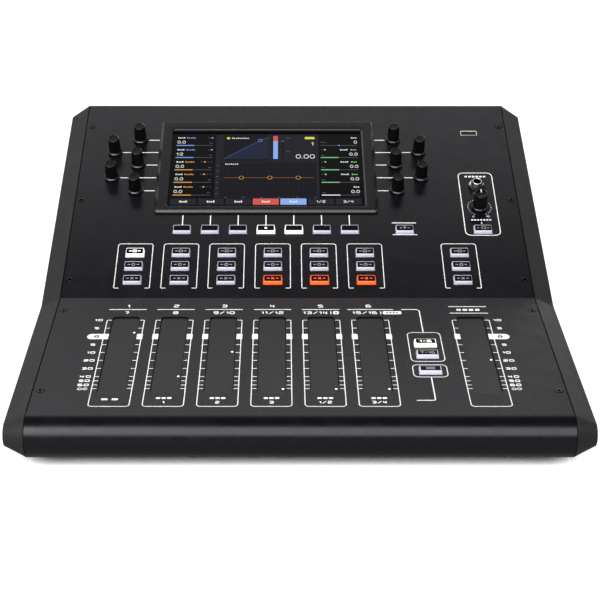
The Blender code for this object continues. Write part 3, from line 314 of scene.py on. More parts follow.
solidRows = dict(  # dark and light colour, roughness, grains a metre, depth of grain, specular, metallic
    powderCoat=((0.0018, 0.0018, 0.0034), (0.0030, 0.0030, 0.0050), (0.24, 0.30), 2600, 0.000008, 0.30),
    cheekPlastic=(0.006, 0.009, (0.52, 0.60), 3200, 0.00004, 0.38),
    bezelPlastic=(0.005, 0.007, (0.30, 0.38), 5200, 0.00001, 0.17),
    bezelEdge=(0.006, 0.008, (0.24, 0.30), 5200, 0.000006, 0.49),
    knobPlastic=(0.0015, 0.0025, (0.26, 0.32), 6000, 0.000006, 0.14),
    knobSkirt=(0.002, 0.003, (0.26, 0.32), 6000, 0.000004, 0.66),
    knobRim=(0.002, 0.003, (0.30, 0.36), 6000, 0.000004, 0.30),
    keyPlastic=((0.50, 0.50, 0.61), (0.57, 0.57, 0.69), (0.30, 0.38), 4000, 0.000004),
    keyWindow=(0.002, 0.003, (0.30, 0.38), 4000, 0.000004, 0.05),
    keyMark=(0.22, 0.26, (0.40, 0.50), 4000, 0.000004),
    whiteInk=(0.68, 0.74, (0.45, 0.55), 5000, 0.000004),
    stripFilm=(0.008, 0.010, (0.30, 0.36), 7000, 0.000006, 0.27),
    stripRim=(0.003, 0.005, (0.5, 0.6), 5000, 0.000004),
    screenGlass=(0.0010, 0.0015, (0.16, 0.20), 6000, 0.000001, 0.05),
    chrome=(0.62, (0.72, 0.71, 0.68), (0.12, 0.2), 3000, 0.000003, 0.5, 1.0),
    warmChrome=((0.66, 0.60, 0.48), (0.78, 0.72, 0.60), (0.14, 0.22), 3000, 0.000003, 0.5, 1.0),
    blackScrew=(0.002, 0.003, (0.22, 0.30), 4000, 0.000004, 0.60),
    # black without gloss, which paints the shade inside sockets, holes and gaps
    paintedHoleShade=(0.0004, 0.0006, (0.6, 0.7), 4000, 0.000002, 0.0),
    # steel darkened nearly to black: painted shade on the jack's threaded ring between the nut and the lip
    shadedThreadSteel=(0.030, 0.050, (0.30, 0.40), 4000, 0.000006, 0.5, 1.0),
    steel=(0.42, 0.50, (0.22, 0.32), 3000, 0.000003, 0.5, 1.0),
    gold=((0.70, 0.46, 0.16), (0.80, 0.56, 0.22), (0.18, 0.26), 4000, 0.000003, 0.5, 1.0),
    rubber=(0.010, 0.016, (0.75, 0.85), 2500, 0.00003),
    boardGreen=((0.01, 0.08, 0.03), (0.015, 0.11, 0.045), (0.35, 0.45), 1500, 0.00001),
    socketPlastic=(0.012, 0.018, (0.40, 0.48), 4500, 0.00001))
lampRows = dict(  # colour, light and its strength
    keyMarkLit=(0.80, (1.0, 1.0, 1.0), 0.9), keyMarkRed=((0.70, 0.06, 0.02), (1.0, 0.07, 0.02), 0.6),
    keyWhite=(0.80, (1.0, 1.0, 1.0), 0.75), keyWarm=((0.80, 0.78, 0.66), (1.0, 0.96, 0.80), 0.7),
    keyOrange=((0.60, 0.10, 0.02), (1.0, 0.11, 0.008), 0.75),
    ledBlue=((0.60, 0.80, 0.95), (0.55, 0.85, 1.0), 1.0))
displayColours = dict(
    screenPanel=(0.014, 0.013, 0.020), screenWindow=(0.006, 0.006, 0.010),
    screenWedge=(0.014, 0.018, 0.042), screenGrid=(0.016, 0.016, 0.022),
    screenGrey=(0.09, 0.09, 0.115), screenTab=(0.017, 0.017, 0.027),
    screenLine=(0.075, 0.120, 0.33), screenAmber=(0.30, 0.135, 0.030),
    screenBlue=(0.20, 0.34, 0.80), screenPale=(0.26, 0.42, 0.86), screenRed=(0.66, 0.10, 0.085),
    screenOrange=(0.66, 0.33, 0.055), screenGreen=(0.21, 0.56, 0.23), screenYellow=(0.72, 0.72, 0.08),
    screenBlack=(0.003, 0.003, 0.004), screenWhite=(0.80, 0.80, 0.80))
display = dict(colour=0.0015, strength=1.0, rough=0.2, specular=0.045)
finishes = {name: textured(name, *row) for name, row in solidRows.items()}
finishes.update({name: glowing(name, *row) for name, row in lampRows.items()})
finishes.update({name: glowing(name, light=light, **display) for name, light in displayColours.items()})
print("finishes ready:", len(finishes))


# shapes, drawn flat in a face's millimetres

def vertsOf(drawn):
    return [g for g in drawn if isinstance(g, bmesh.types.BMVert)]


def edgesOf(drawn):
    return [g for g in drawn if isinstance(g, bmesh.types.BMEdge)]


def soften(bm, edges, offset, steps=2):
    bmesh.ops.bevel(bm, geom=edges, offset=offset, segments=steps, profile=0.5, affect="EDGES",
                    material=-1)


def addPlate(bm, x, y, width, depth, corner=0.0, steps=4, level=0.0):
    place = Matrix.Translation((x, y, level)) @ Matrix.Diagonal((width, depth, 1, 1))
    made = bmesh.ops.create_grid(bm, x_segments=1, y_segments=1, size=0.5, matrix=place)
    if corner:
        bmesh.ops.bevel(bm, geom=made["verts"], offset=corner, segments=steps, profile=0.5,
                        affect="VERTICES", material=-1)


def addDisc(bm, x, y, radius, sides=20, level=0.0):
    bmesh.ops.create_circle(bm, cap_ends=True, segments=sides, radius=radius,
                            matrix=Matrix.Translation((x, y, level)))


def addStroke(bm, points, width, radius=0.0, steps=5, level=0.0):
    # draws an edge along straight runs and round the corners between them; a tuple gives each
    # corner its radius, and level lifts a stroke that crosses another, so that no tops coincide
    points = [Vector((*p, level)) for p in points]
    radii = [0.0, *radius] if isinstance(radius, tuple) else [radius] * len(points)
    heading = (points[1] - points[0]).normalized()
    up = Vector((0, 0, 1))
    half = heading.cross(up) * (width / 2)
    ends = [bm.verts.new(points[0] + half), bm.verts.new(points[0] - half)]
    edge = bm.edges.new(ends)
    here = points[0]
    for i in range(1, len(points)):
        onwards = points[i + 1] - points[i] if i + 1 < len(points) else None
        turn = heading.xy.angle_signed(onwards.xy) if onwards else 0.0
        reach = abs(math.tan(turn / 2)) * radii[i] if onwards else 0.0
        stop = points[i] - heading * reach
        drawn = bmesh.ops.extrude_edge_only(bm, edges=[edge])["geom"]
        moved = vertsOf(drawn)
        bmesh.ops.translate(bm, verts=moved, vec=stop - here)
        edge = next(e for e in edgesOf(drawn) if set(e.verts) == set(moved))
        here = stop
        if onwards:
            inner = heading.cross(up) * (radii[i] if turn > 0 else -radii[i])
            swept = bmesh.ops.spin(bm, geom=[edge, *edge.verts], cent=here + inner, axis=up,
                                   angle=-turn, steps=steps, use_merge=False)["geom_last"]
            edge = edgesOf(swept)[0]
            heading = onwards.normalized()
            here = points[i] + heading * reach


def boxPath(x, half, start, end, foot=0.0):
    # once round a box, from one side of its middle to the other; foot leaves a gap there
    return [(x - foot, start), (x - half, start), (x - half, end), (x + half, end), (x + half, start),
            (x + foot, start)]


def addRing(bm, x, y, radius, width, start=0.0, sweep=360.0, steps=24):
    # flat ring or arc, angles in degrees from the right, anticlockwise
    a = radians(start)
    ray = Vector((cos(a), sin(a), 0))
    centre = Vector((x, y, 0))
    edge = bm.edges.new([bm.verts.new(centre + ray * (radius + width / 2)),
                         bm.verts.new(centre + ray * (radius - width / 2))])
    full = abs(sweep) >= 360
    bmesh.ops.spin(bm, geom=[edge, *edge.verts], cent=centre, axis=(0, 0, 1), angle=radians(sweep),
                   steps=steps, use_merge=full)


figures = {  # strokes in a box one wide and one high
    "0": [[(0.5, 0), (1, 0), (1, 1), (0, 1), (0, 0), (0.5, 0)]],
    "1": [[(1, 0), (1, 1)], [(0, 0.74), (1, 0.94)]],
    "2": [[(0, 1), (1, 1), (1, 0.5), (0, 0.5), (0, 0), (1, 0)]],
    "3": [[(0, 1), (1, 1), (1, 0), (0, 0)], [(0.25, 0.5), (1, 0.5)]],
    "4": [[(0.76, 0), (0.76, 1)], [(0.1, 1), (0, 0.36), (1, 0.36)]],
    "5": [[(1, 1), (0, 1), (0, 0.55), (1, 0.55), (1, 0), (0, 0)]],
    "6": [[(0.9, 1), (0, 1), (0, 0), (1, 0), (1, 0.54), (0.1, 0.54)]],
    "7": [[(0, 1), (1, 1), (0.35, 0)]],
    "8": [[(0.5, 0), (1, 0), (1, 1), (0, 1), (0, 0), (0.5, 0)], [(0, 0.5), (1, 0.5)]],
    "9": [[(0.1, 0), (1, 0), (1, 1), (0, 1), (0, 0.46), (0.9, 0.46)]],
    "/": [[(0, 0), (1, 1)]], "-": [[(0, 0.5), (1, 0.5)]]}
figureDots = {".": (0.0,), ":": (0.15, 0.8)}
figureLook = dict(width=0.76, widths={"1": 0.28, "/": 0.72, "-": 0.42, " ": 0.2, ".": 0.0, ":": 0.0},
                  gap=0.19)


def addText(bm, text, x, y, height, stretch=1.0, align=0, line=0.18, corner=0.18):
    # wide figures centred on y; align -1 starts at x, 0 centres there, 1 ends there
    look = figureLook
    line *= height
    tall = height - line
    low = y - tall / 2
    widths = [look["widths"].get(c, look["width"]) * height * stretch for c in text]
    gap = height * look["gap"] * stretch + line
    whole = sum(widths) + gap * (len(text) - 1)
    here = x - whole / 2 - align * (whole + line) / 2
    for c, width in zip(text, widths):
        for share in figureDots.get(c, ()):
            addPlate(bm, here, low + share * tall, line, line)
        for i, stroke in enumerate(figures.get(c, ())):
            addStroke(bm, [(here + px * width, low + py * tall) for px, py in stroke], line,
                      height * corner, 3, i * 0.006)
        here += width + gap


def addTube(bm, outer, inner, low, high, sides=48, edge=0.25, spot=(0, 0)):
    # a ring with its rims broken, turned from one closed section
    part = bmesh.new()
    section = [(inner, low), (outer - edge, low), (outer, low + edge), (outer, high - edge),
               (outer - edge, high), (inner + edge, high), (inner, high - edge)]
    verts = [part.verts.new((r, 0, z)) for r, z in section]
    edges = [part.edges.new((verts[i], verts[(i + 1) % len(verts)])) for i in range(len(verts))]
    bmesh.ops.spin(part, geom=verts + edges, cent=(0, 0, 0), axis=(0, 0, 1), angle=2 * pi, steps=sides,
                   use_merge=True)
    bmesh.ops.translate(part, verts=part.verts, vec=(*spot, 0))
    bmesh.ops.recalc_face_normals(part, faces=part.faces)
    addShape(bm, part)


def addBlocks(bm, x, y, count, width, height, gap=0.8):
    # short bars side by side, where a word would stand
    for i in range(count):
        addPlate(bm, x + (i - (count - 1) / 2) * (width + gap), y, width, height, 0.4, 2)


def addShape(bm, part, index=None):
    # puts a finished shape into a larger one
    if index is not None:
        for face in part.faces:
            face.material_index = index
    mesh = bpy.data.meshes.new("part")
    part.to_mesh(mesh)
    part.free()
    bm.from_mesh(mesh)
    bpy.data.meshes.remove(mesh)


def raiseFlat(bm, low, high):
    # gives flat shapes their thickness
    bmesh.ops.translate(bm, verts=bm.verts, vec=(0, 0, low))
    raised = bmesh.ops.extrude_face_region(bm, geom=list(bm.faces))["geom"]
    bmesh.ops.translate(bm, verts=vertsOf(raised), vec=(0, 0, high - low))
    bmesh.ops.recalc_face_normals(bm, faces=bm.faces)


def writePiece(name, bm, looks, body="chassis", place=None, sharp=35):
    # a finished piece: its place in its mesh, its finishes, its shading and its body
    if place is not None:
        bmesh.ops.transform(bm, matrix=place, verts=bm.verts)
    mesh = bpy.data.meshes.new(name)
    bm.to_mesh(mesh)
    bm.free()
    for look in looks:
        mesh.materials.append(finishes[look])
    mesh.shade_smooth()
    mesh.set_sharp_from_angle(angle=radians(sharp))
    piece = bpy.data.objects.new(name, mesh)
    scene.collection.objects.link(piece)
    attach(piece, body)
    return piece


def writeFlat(name, shapes, thickness, body="chassis", place=None):
    # one piece from flat shapes, {finish: bmesh}, each raised by its own thickness
    whole = bmesh.new()
    for index, look in enumerate(shapes):
        low, high = thickness[look] if isinstance(thickness, dict) else thickness
        raiseFlat(shapes[look], low, high)
        addShape(whole, shapes[look], index)
    return writePiece(name, whole, list(shapes), body, place)


# the CAD pieces: finishes and smooth copies

def bodyOf(node):
    return nodes[node]["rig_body"]


def coat(node, look):
    piece = nodes[node]
    if not piece.material_slots:
        piece.data.materials.append(finishes[look])
    for holder in piece.material_slots:
        holder.material = finishes[look]


merging = dict(reach=0.004 * mm, flat=radians(0.4))


def mergedCopy(node):
    # the CAD shape with its split corners joined and its flats in one face each
    bm = bmesh.new()
    bm.from_mesh(nodes[node].data)
    bmesh.ops.remove_doubles(bm, verts=bm.verts, dist=merging["reach"])
    bmesh.ops.dissolve_limit(bm, angle_limit=merging["flat"], verts=bm.verts, edges=bm.edges)
    for face in bm.faces:
        face.material_index = 0
    return bm


def keepFlats(piece):
    weigh = piece.modifiers.new("flats stay flat", "WEIGHTED_NORMAL")
    weigh.weight = 100
    weigh.keep_sharp = True


def smoothSkin(node, look, sharp=30):
    # the same shape with its facets shaded round and its flats kept flat
    piece = writePiece(node + "_skin", mergedCopy(node), [look], bodyOf(node), sharp=sharp)
    keepFlats(piece)
    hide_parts(node)


skins = dict(top_panel="powderCoat", base_tray="powderCoat", left_cheek="cheekPlastic",
             right_cheek="cheekPlastic")
for node, look in skins.items():
    smoothSkin(node, look)
plainNodes = dict(
    touchscreen="screenGlass", touch_fader_board="stripRim", power_supply="socketPlastic",
    power_rocker="knobPlastic",
    **{node: "rubber" for node in nodes if node.startswith("foot_")})
for node, look in plainNodes.items():
    coat(node, look)
keyNodes = [n for n in nodes if n.endswith("_button") or "_button_" in n]
knobNodes = [n for n in nodes if "encoder_knob" in n] + ["monitor_knob"]
print("CAD pieces finished:", len(skins) + len(plainNodes))


# white print

printing = dict(white=(-0.03, 0.05), dark=(0.03, 0.10))
columnNodes = [f"channel_{i}_mute_button" for i in range(1, 7)] + ["main_mute_button"]
columns = [onFace(upper, node).x for node in columnNodes]
ink = {"whiteInk": printing["white"]}

upperPrint = dict(
    line=0.55, column=(13.0, 10.4, 56.0, 9.5), corners=(0.7, 2.2, 2.2, 0.7),
    leadLine=0.8, leadInner=-119.0, leadOuter=-139.2, leadEnd=-110.5,
    keyLead=(76.0, 87.0), tapBars=(7.5, -5.3), tapHalf=9.2)
monitorPrint = dict(  # places across are from the knob's middle
    frameLine=0.7, frame=(13.25, 65.2, 135.5), corner=4.0,
    dialRadius=8.95, dialDots=21, dialSweep=150.0, dot=(0.36, 8),
    figures=(("0", -5.6), ("10", 5.4)), figureDrop=10.2, figure=1.5, lead=(77.3, 79.6),
    words=((131.2, 6, 2.0, 1.7, 0.9), (81.9, 7, 1.6, 1.4, 0.7)))


def printUpper():
    look = upperPrint
    bm = bmesh.new()
    for x in columns:
        addStroke(bm, boxPath(x, *look["column"]), look["line"], look["corners"])
    screenX = onFace(upper, "screen_bezel").x
    for row in range(1, 6):  # leaders between the screen and its encoders
        l = onFace(upper, f"encoder_knob_left_{row}").y
        for side in (-1, 1):
            near = side * (screenX - look["leadEnd"])
            far = side * (screenX - (look["leadInner"] if row % 2 else look["leadOuter"]))
            addStroke(bm, [(screenX + near, l), (screenX + far, l)], look["leadLine"])
    for i in range(1, 8):
        x = onFace(upper, f"soft_button_{i}").x
        addStroke(bm, [(x, l) for l in look["keyLead"]], look["leadLine"])
    tap = onFace(upper, "tap_button")
    for rise in look["tapBars"]:
        ends = [(tap.x + side * look["tapHalf"], tap.y + rise) for side in (-1, 1)]
        addStroke(bm, ends, look["leadLine"])
    printMonitor(bm)
    writeFlat("upper_print", {"whiteInk": bm}, ink, place=upper)


def printMonitor(bm):
    # frame, volume scale and the marks that stand for the words of the monitor section
    look = monitorPrint
    x = onFace(upper, "monitor_knob").x
    addStroke(bm, boxPath(x, *look["frame"]), look["frameLine"], look["corner"])
    l = frameAxis(upper, "monitor_knob_turn").y
    for i in range(look["dialDots"]):
        a = radians(90 + look["dialSweep"] * (1 - 2 * i / (look["dialDots"] - 1)))
        addDisc(bm, x + cos(a) * look["dialRadius"], l + sin(a) * look["dialRadius"], *look["dot"])
    for text, shift in look["figures"]:
        addText(bm, text, x + shift, l - look["figureDrop"], look["figure"])
    addStroke(bm, [(x, end) for end in look["lead"]], look["frameLine"])
    for place, *row in look["words"]:
        addBlocks(bm, x, place, *row)


def frameAxis(face, name):
    # where a joint's axis meets a face, in its millimetres
    return face.inverted() @ Vector(joint(name)["pos_m"])


lowerPrint = dict(
    line=0.58, tickLine=0.52, half=13.0, top=-31.5, end=-141.0, corners=(0.9, 2.4, 2.4, 0.9), tick=3.2,
    tickRows=(-42.75, -65.1, -75.4, -85.6, -95.75, -105.75, -110.9, -115.9, -120.25), tickLevel=0.006,
    zero=(-50.7, -57.7), zeroWidth=3.4, zeroIn=0.5, zeroBack=0.1, zeroLevels=(0.012, 0.018),
    pillEnd=145.2, pillFigure=3.1, scaleX=139.9, scaleFigure=(2.9, 1.2), endless=(1.75, -120.6, 2.7, 1.4),
    scale=(("10", -31.5), ("5", -42.75), ("5", -65.1), ("10", -75.4), ("20", -85.6),
           ("30", -95.75), ("40", -105.75), ("50", -110.9), ("60", -115.9)))
headPrint = dict(
    line=-16.25, half=13.3, first=-11.25, firstFigure=4.1, second=-20.9, secondFigure=3.9, stroke=0.2,
    rule=0.8, lastRule=(-15.4, 17.3), mainRules=(-12.0, -21.5), mainHalf=13.5, mainWord=(4, 3.2, 2.6, 1.2),
    seconds=("7", "8", "9/10", "11/12", "13/14", "15/16"), shifts=(0, 0, 0, 0, -3.8, -3.2),
    badges={4: (8.7, 4.2), 5: (9.7, 13.2)},  # what follows the pair: its start and its width
    bar=(1.5, -23.0, -18.8, 0.7), badge=(4.4, 1.3, 4), badgeMark=1.5, badgePitch=3.4,
    under=(None, "1", "2", "3", "1/2", "3/4"), underL=-136.2, underFigure=3.0,
    wordL=-131.4, word=(3, 2.8, 1.9), loneWordL=-132.8, loneWord=(2, 4.0, 2.0, 2.6))
bankPrint = dict(
    shift=23.0, corner=2.6, half=11.25, frames=((-48.75, -86.9), (-91.0, -106.25)), frameCorner=3.5,
    tail=((0, -106.25), (0, -134.0), (-12.0, -134.0)), tailCorner=1.4)


def printFader(bm, x):
    # frame round one touch strip: open at the top, ticks inwards, a block at zero
    look = lowerPrint
    half, inner = look["half"], look["half"] - look["tick"]
    addStroke(bm, boxPath(x, half, look["top"], look["end"], inner), look["line"], look["corners"])
    outside = {columns[0]: -1, columns[-1]: 1}.get(x)
    high, low = look["zero"]
    width = look["zeroWidth"]
    for side in (-1, 1):
        for l in look["tickRows"]:
            addStroke(bm, [(x + side * inner, l), (x + side * half, l)], look["tickLine"],
                      level=look["tickLevel"])
        if side != outside:
            addPlate(bm, x + side * (half - width / 2 + look["zeroIn"]), (high + low) / 2,
                     width + look["zeroIn"] + look["zeroBack"], high - low, 0.4, 2, look["zeroLevels"][0])


def printZero(bm, dark, side):
    # the outer frames' zero blocks run out to a pill with a dark 0
    look = lowerPrint
    edge = (columns[0] if side < 0 else columns[-1]) + side * (look["half"] - look["zeroWidth"])
    high, low = look["zero"]
    outer = side * look["pillEnd"]
    middle, reach = (high + low) / 2, (high - low) / 2
    addPlate(bm, (edge + outer) / 2 - side * reach / 2, middle, abs(outer - edge) - reach,
             high - low, level=look["zeroLevels"][0])
    addDisc(bm, outer - side * reach, middle, reach, 28, look["zeroLevels"][1])
    addText(dark, "0", side * (look["scaleX"] - 1.2), middle, look["pillFigure"], line=0.32)


def printScale(bm, x):
    look = lowerPrint
    for text, l in look["scale"]:
        addText(bm, text, x, l, *look["scaleFigure"], line=0.24)
    half, l, *figure = look["endless"]
    for side in (-1, 1):  # infinity, as two flat rings
        addText(bm, "0", x + side * half, l, *figure, line=0.2, corner=0.5)


def printHeads(bm, dark):
    # numbers over and under each strip, with a rule between the two layers
    look = headPrint
    stroke = look["stroke"]
    for i, x in enumerate(columns[:-1]):
        addText(bm, str(i + 1), x, look["first"], look["firstFigure"], line=stroke)
        near, far = look["lastRule"] if i == 5 else (-look["half"], look["half"])
        addStroke(bm, [(x + near, look["line"]), (x + far, look["line"])], look["rule"])
        addText(bm, look["seconds"][i], x + look["shifts"][i], look["second"], look["secondFigure"],
                line=stroke)
        if look["under"][i]:
            addText(bm, look["under"][i], x, look["underL"], look["underFigure"], line=0.22)
            addBlocks(bm, x, look["wordL"], *look["word"])
        else:
            addBlocks(bm, x, look["loneWordL"], *look["loneWord"])
    back, low, high, width = look["bar"]
    for i, (start, reach) in look["badges"].items():
        x = columns[i] + start
        addStroke(bm, [(x - back, low), (x - back, high)], width)
        addPlate(bm, x + reach / 2, look["second"], reach, *look["badge"])
        addBlocks(dark, x + reach / 2, look["second"], round(reach / look["badgePitch"]),
                  look["badgeMark"], look["badgeMark"])
    x, half = columns[-1], look["mainHalf"]
    for l in look["mainRules"]:
        addStroke(bm, [(x - half, l), (x + half, l)], look["rule"])
    addBlocks(bm, x, sum(look["mainRules"]) / 2, *look["mainWord"])


def printBank(bm):
    # line from the last channel round the three bank keys
    look = bankPrint
    rule, level = headPrint["rule"], headPrint["line"]
    x = onFace(lower, "bank_button_1").x
    addStroke(bm, [(columns[5] + look["shift"], level), (x, level), (x, look["frames"][0][0])], rule,
              look["corner"])
    for high, low in look["frames"]:
        addStroke(bm, boxPath(x, look["half"], low, high), lowerPrint["line"], look["frameCorner"])
    addStroke(bm, [(x + shift, l) for shift, l in look["tail"]], rule, look["tailCorner"])


def printLower():
    bm = bmesh.new()
    dark = bmesh.new()
    for x in columns:
        printFader(bm, x)
    for side in (-1, 1):
        printZero(bm, dark, side)
        printScale(bm, side * lowerPrint["scaleX"])
    printHeads(bm, dark)
    printBank(bm)
    writeFlat("lower_print", {"whiteInk": bm, "keyWindow": dark}, {**ink, "keyWindow": printing["dark"]},
              place=lower)


printUpper()
printLower()
print("print ready")


# keys: caps with rounded edges, printed windows and the lamps behind them

keyLook = dict(
    rounding=0.22, proud=0.3, upright=1.0, crease=20,  # which edges are rounded off
    windowWidth=12.3, bankWidth=13.1, window=(5.5, 0.45, 3), windowShift=-0.1,
    windowHeights=(-0.30, 0.03), markHeights=(-0.30, 0.06), dash=(0.75, 0.3, 2))
litKeys = dict(
    channel_1_select_button=("keyWhite", "keyMarkLit"),
    channel_4_mute_button=("keyOrange", "keyMarkRed"),
    channel_5_mute_button=("keyOrange", "keyMarkRed"),
    channel_6_mute_button=("keyOrange", "keyMarkRed"),
    bank_button_1=("keyWarm", "keyMarkLit"),
    soft_button_4=("keyWhite", "keyMarkLit"),
    soft_button_5=("keyWhite", "keyMarkLit"))


def faceOf(node):
    return lower if node.startswith("bank") else upper


markLook = dict(  # strokes as (points, width), rings, discs, plates, and dashes as (reach, length)
    select=dict(strokes=(boxPath(0.0, 1.2, -1.0, 1.0),), line=0.6, dashes=(3.3, 2.2)),
    solo=dict(rings=((0, 0, 1.1, 0.6, 0.0, 360.0, 16),), dashes=(3.3, 2.2)),
    mute=dict(strokes=(((1.0, -1.0), (-1.0, 1.0)), ((-1.0, -1.0), (1.0, 1.0))), line=0.6,
              dashes=(3.3, 2.2)),
    tap=dict(discs=((0, 0, 0.8, 14),), rings=((0, 0, 1.5, 0.35, 30, 120, 8),), dashes=(3.0, 1.8)),
    clear=dict(strokes=(((-1.5, 0), (-0.4, -1.1), (1.8, -1.1), (1.8, 1.1), (-0.4, 1.1), (-1.5, 0)),),
               line=0.5, dashes=(3.9, 1.6)),
    layer=dict(plates=tuple((0, l, 6.0, 0.6, 0.25, 2) for l in (-1.0, 0.1, 1.2))),
    dot=dict(discs=((0, 0, 0.95, 16),)),
    firstBank=dict(texts=(("1-6", 0, 0, 3.1, 1.15),)),
    secondBank=dict(texts=(("7-16", 0, 0, 3.1, 0.9),)))
markedKeys = dict(bank_button_1="firstBank", bank_button_2="secondBank", bank_button_3="layer",
                  tap_button="tap", clear_button="clear", soft_button_4="dot")


def markOf(node):
    bm = bmesh.new()
    look = markLook.get(markedKeys.get(node, node.split("_")[-2]), {})
    for draw, rows in ((addText, "texts"), (addRing, "rings"), (addDisc, "discs"), (addPlate, "plates")):
        for row in look.get(rows, ()):
            draw(bm, *row)
    for points in look.get("strokes", ()):
        addStroke(bm, points, look["line"])
    if "dashes" in look:
        reach, length = look["dashes"]
        for side in (-1, 1):
            addPlate(bm, side * reach, 0, length, *keyLook["dash"])
    return bm


def makeCap(node, look):
    # the CAD key with its sharp edges over the sheet rounded off
    face = faceOf(node)
    bm = mergedCopy(node)
    bmesh.ops.transform(bm, matrix=face.inverted(), verts=bm.verts)
    proud, crease = keyLook["proud"], radians(keyLook["crease"])
    over = [e for e in bm.edges if min(v.co.z for v in e.verts) > proud or
            (max(v.co.z for v in e.verts) > proud and e.calc_length() > keyLook["upright"])]
    edges = [e for e in over if len(e.link_faces) == 2 and e.calc_face_angle(0) > crease]
    soften(bm, edges, keyLook["rounding"])
    cap = writePiece(node + "_cap", bm, [look], bodyOf(node), face, sharp=50)
    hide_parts(node)


def makeKey(node):
    look, mark = litKeys.get(node, ("keyPlastic", "keyMark"))
    makeCap(node, look)
    face = faceOf(node)
    points = [face.inverted() @ v.co for v in nodes[node].data.vertices]
    top = max(p.z for p in points)
    x, y = ((max(row) + min(row)) / 2 for row in zip(*(p.xy for p in points if p.z > top - 0.1)))
    centre = Matrix.Translation((x, y + keyLook["windowShift"], top))
    width = keyLook["bankWidth"] if node.startswith("bank") else keyLook["windowWidth"]
    window = bmesh.new()
    addPlate(window, 0, 0, width, *keyLook["window"])
    shapes = {"keyWindow": window}
    glyph = markOf(node)
    if glyph.faces:
        shapes[mark] = glyph
    else:
        glyph.free()
    heights = {"keyWindow": keyLook["windowHeights"], mark: keyLook["markHeights"]}
    writeFlat(node + "_window", shapes, heights, bodyOf(node), face @ centre)


for node in keyNodes:
    makeKey(node)
print("keys ready:", len(keyNodes))


# knobs

knobLook = dict(
    sides=72, flutes=18, fluteDepth=0.34, fluted=3.5, scaleMonitor=1.06,
    profile=((5.5, 1.6), (5.8, 1.7), (5.8, 1.92), (5.58, 2.12), (5.28, 2.32), (4.98, 2.52),
             (4.9, 2.9), (4.86, 3.6), (4.62, 7.4), (4.38, 12.6), (4.32, 13.9), (4.22, 14.4),
             (4.0, 14.66), (3.72, 14.8), (3.5, 14.74), (3.3, 14.6), (1.2, 14.52)),
    skirtTop=2.7, rimLow=13.95, rimInside=3.4, widenMonitor=1.1, shaft=3.0, shaftDepth=9.6,
    grip=(3.5, 13.7), pointer=(2.7, 0.6, 3.4), pointerHeights=(14.2, 14.9))


def drawOn(bm, ring):
    # carries a closed ring of edges one step further
    drawn = bmesh.ops.extrude_edge_only(bm, edges=ring)["geom"]
    verts = vertsOf(drawn)
    return verts, [e for e in edgesOf(drawn) if all(v in set(verts) for v in e.verts)]


def knobShape(scale, widen):
    # rings drawn up from the skirt, pushed in at the flutes between the grip's ends
    look = knobLook
    bm = bmesh.new()
    radius, bottom = look["profile"][0]
    bmesh.ops.create_circle(bm, cap_ends=False, segments=look["sides"], radius=radius * scale,
                            matrix=Matrix.Translation((0, 0, bottom)))
    first = list(bm.edges)
    ring = first
    for nextRadius, height in look["profile"][1:]:
        verts, ring = drawOn(bm, ring)
        for v in verts:
            v.co.x *= nextRadius / radius
            v.co.y *= nextRadius / radius
            v.co.z = height
        radius = nextRadius
    bmesh.ops.edgeloop_fill(bm, edges=ring)
    low, high = look["grip"]
    for v in bm.verts:
        if v.co.z > look["skirtTop"]:
            v.co.xy *= widen
        if low < v.co.z < high and v.co.xy.length > look["fluted"] * scale:
            wave = cos(look["flutes"] * math.atan2(v.co.y, v.co.x))
            v.co.xy *= 1 - look["fluteDepth"] * (0.5 - 0.5 * wave) ** 2 / v.co.xy.length
    verts, ring = drawOn(bm, first)  # turned in to the shaft
    for v in verts:
        v.co.xy *= look["shaft"] / v.co.xy.length
    verts, ring = drawOn(bm, ring)
    bmesh.ops.translate(bm, verts=verts, vec=(0, 0, -look["shaftDepth"]))
    bmesh.ops.edgeloop_fill(bm, edges=ring)
    bmesh.ops.recalc_face_normals(bm, faces=bm.faces)
    for face in bm.faces:
        middle = face.calc_center_median()
        face.material_index = int(bottom < middle.z < look["skirtTop"])
        if middle.z > look["rimLow"] and middle.xy.length > look["rimInside"] * scale:
            face.material_index = 2
    return bm


def makeKnob(node):
    look = knobLook
    axis = frameAxis(upper, node + "_turn")
    place = upper @ Matrix.Translation((axis.x, axis.y, 0))
    wide = node == "monitor_knob"
    shape = knobShape(look["scaleMonitor"], look["widenMonitor"]) if wide else knobShape(1.0, 1.0)
    looks = ["knobPlastic", "knobSkirt", "knobRim"]
    knob = writePiece(node + "_fluted", shape, looks, bodyOf(node), place, sharp=32)
    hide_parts(node)
    if wide:
        bm = bmesh.new()
        addPlate(bm, 0, *look["pointer"], 0.2, 2)
        writeFlat("monitor_pointer", {"whiteInk": bm}, look["pointerHeights"], bodyOf(node), place)


for node in knobNodes:
    makeKnob(node)
print("knobs ready:", len(knobNodes))


# boards and sockets behind the top: one finish for each kind of body

def splitSkin(node, looks, choose, place, sharp=30):
    # a merged copy whose faces take the finish that choose(middle, normal) names
    bm = mergedCopy(node)
    back = place.inverted()
    turn = back.to_3x3().normalized()
    bm.normal_update()
    for face in bm.faces:
        face.material_index = looks.index(choose(back @ face.calc_center_median(), turn @ face.normal))
    skin = writePiece(node + "_skin", bm, looks, bodyOf(node), sharp=sharp)
    keepFlats(skin)
    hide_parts(node)


usbLook = dict(l=184.0, width=13.4, height=5.8, rim=0.42, rimCorner=1.0, rimHeights=(-0.6, 0.16),
               tongue=(0, 0.6, 11.0, 1.9, 0.3, 2), tongueHeights=(-10.6, -1.6),
               contacts=(-3.5, -1.2, 1.2, 3.5), contact=(-0.42, 1.1, 0.16), contactHeights=(-10.2, -2.1),
               near=(8, 4))
boardTop = -10.7  # just over the board, under its switches and shell


def boardLook(middle, normal):
    if middle.z < boardTop:
        return "boardGreen"
    across, along = usbLook["near"]
    usbX = onFace(upper, "monitor_knob").x
    shell = abs(middle.x - usbX) < across and abs(middle.y - usbLook["l"]) < along
    return "steel" if shell else "socketPlastic"


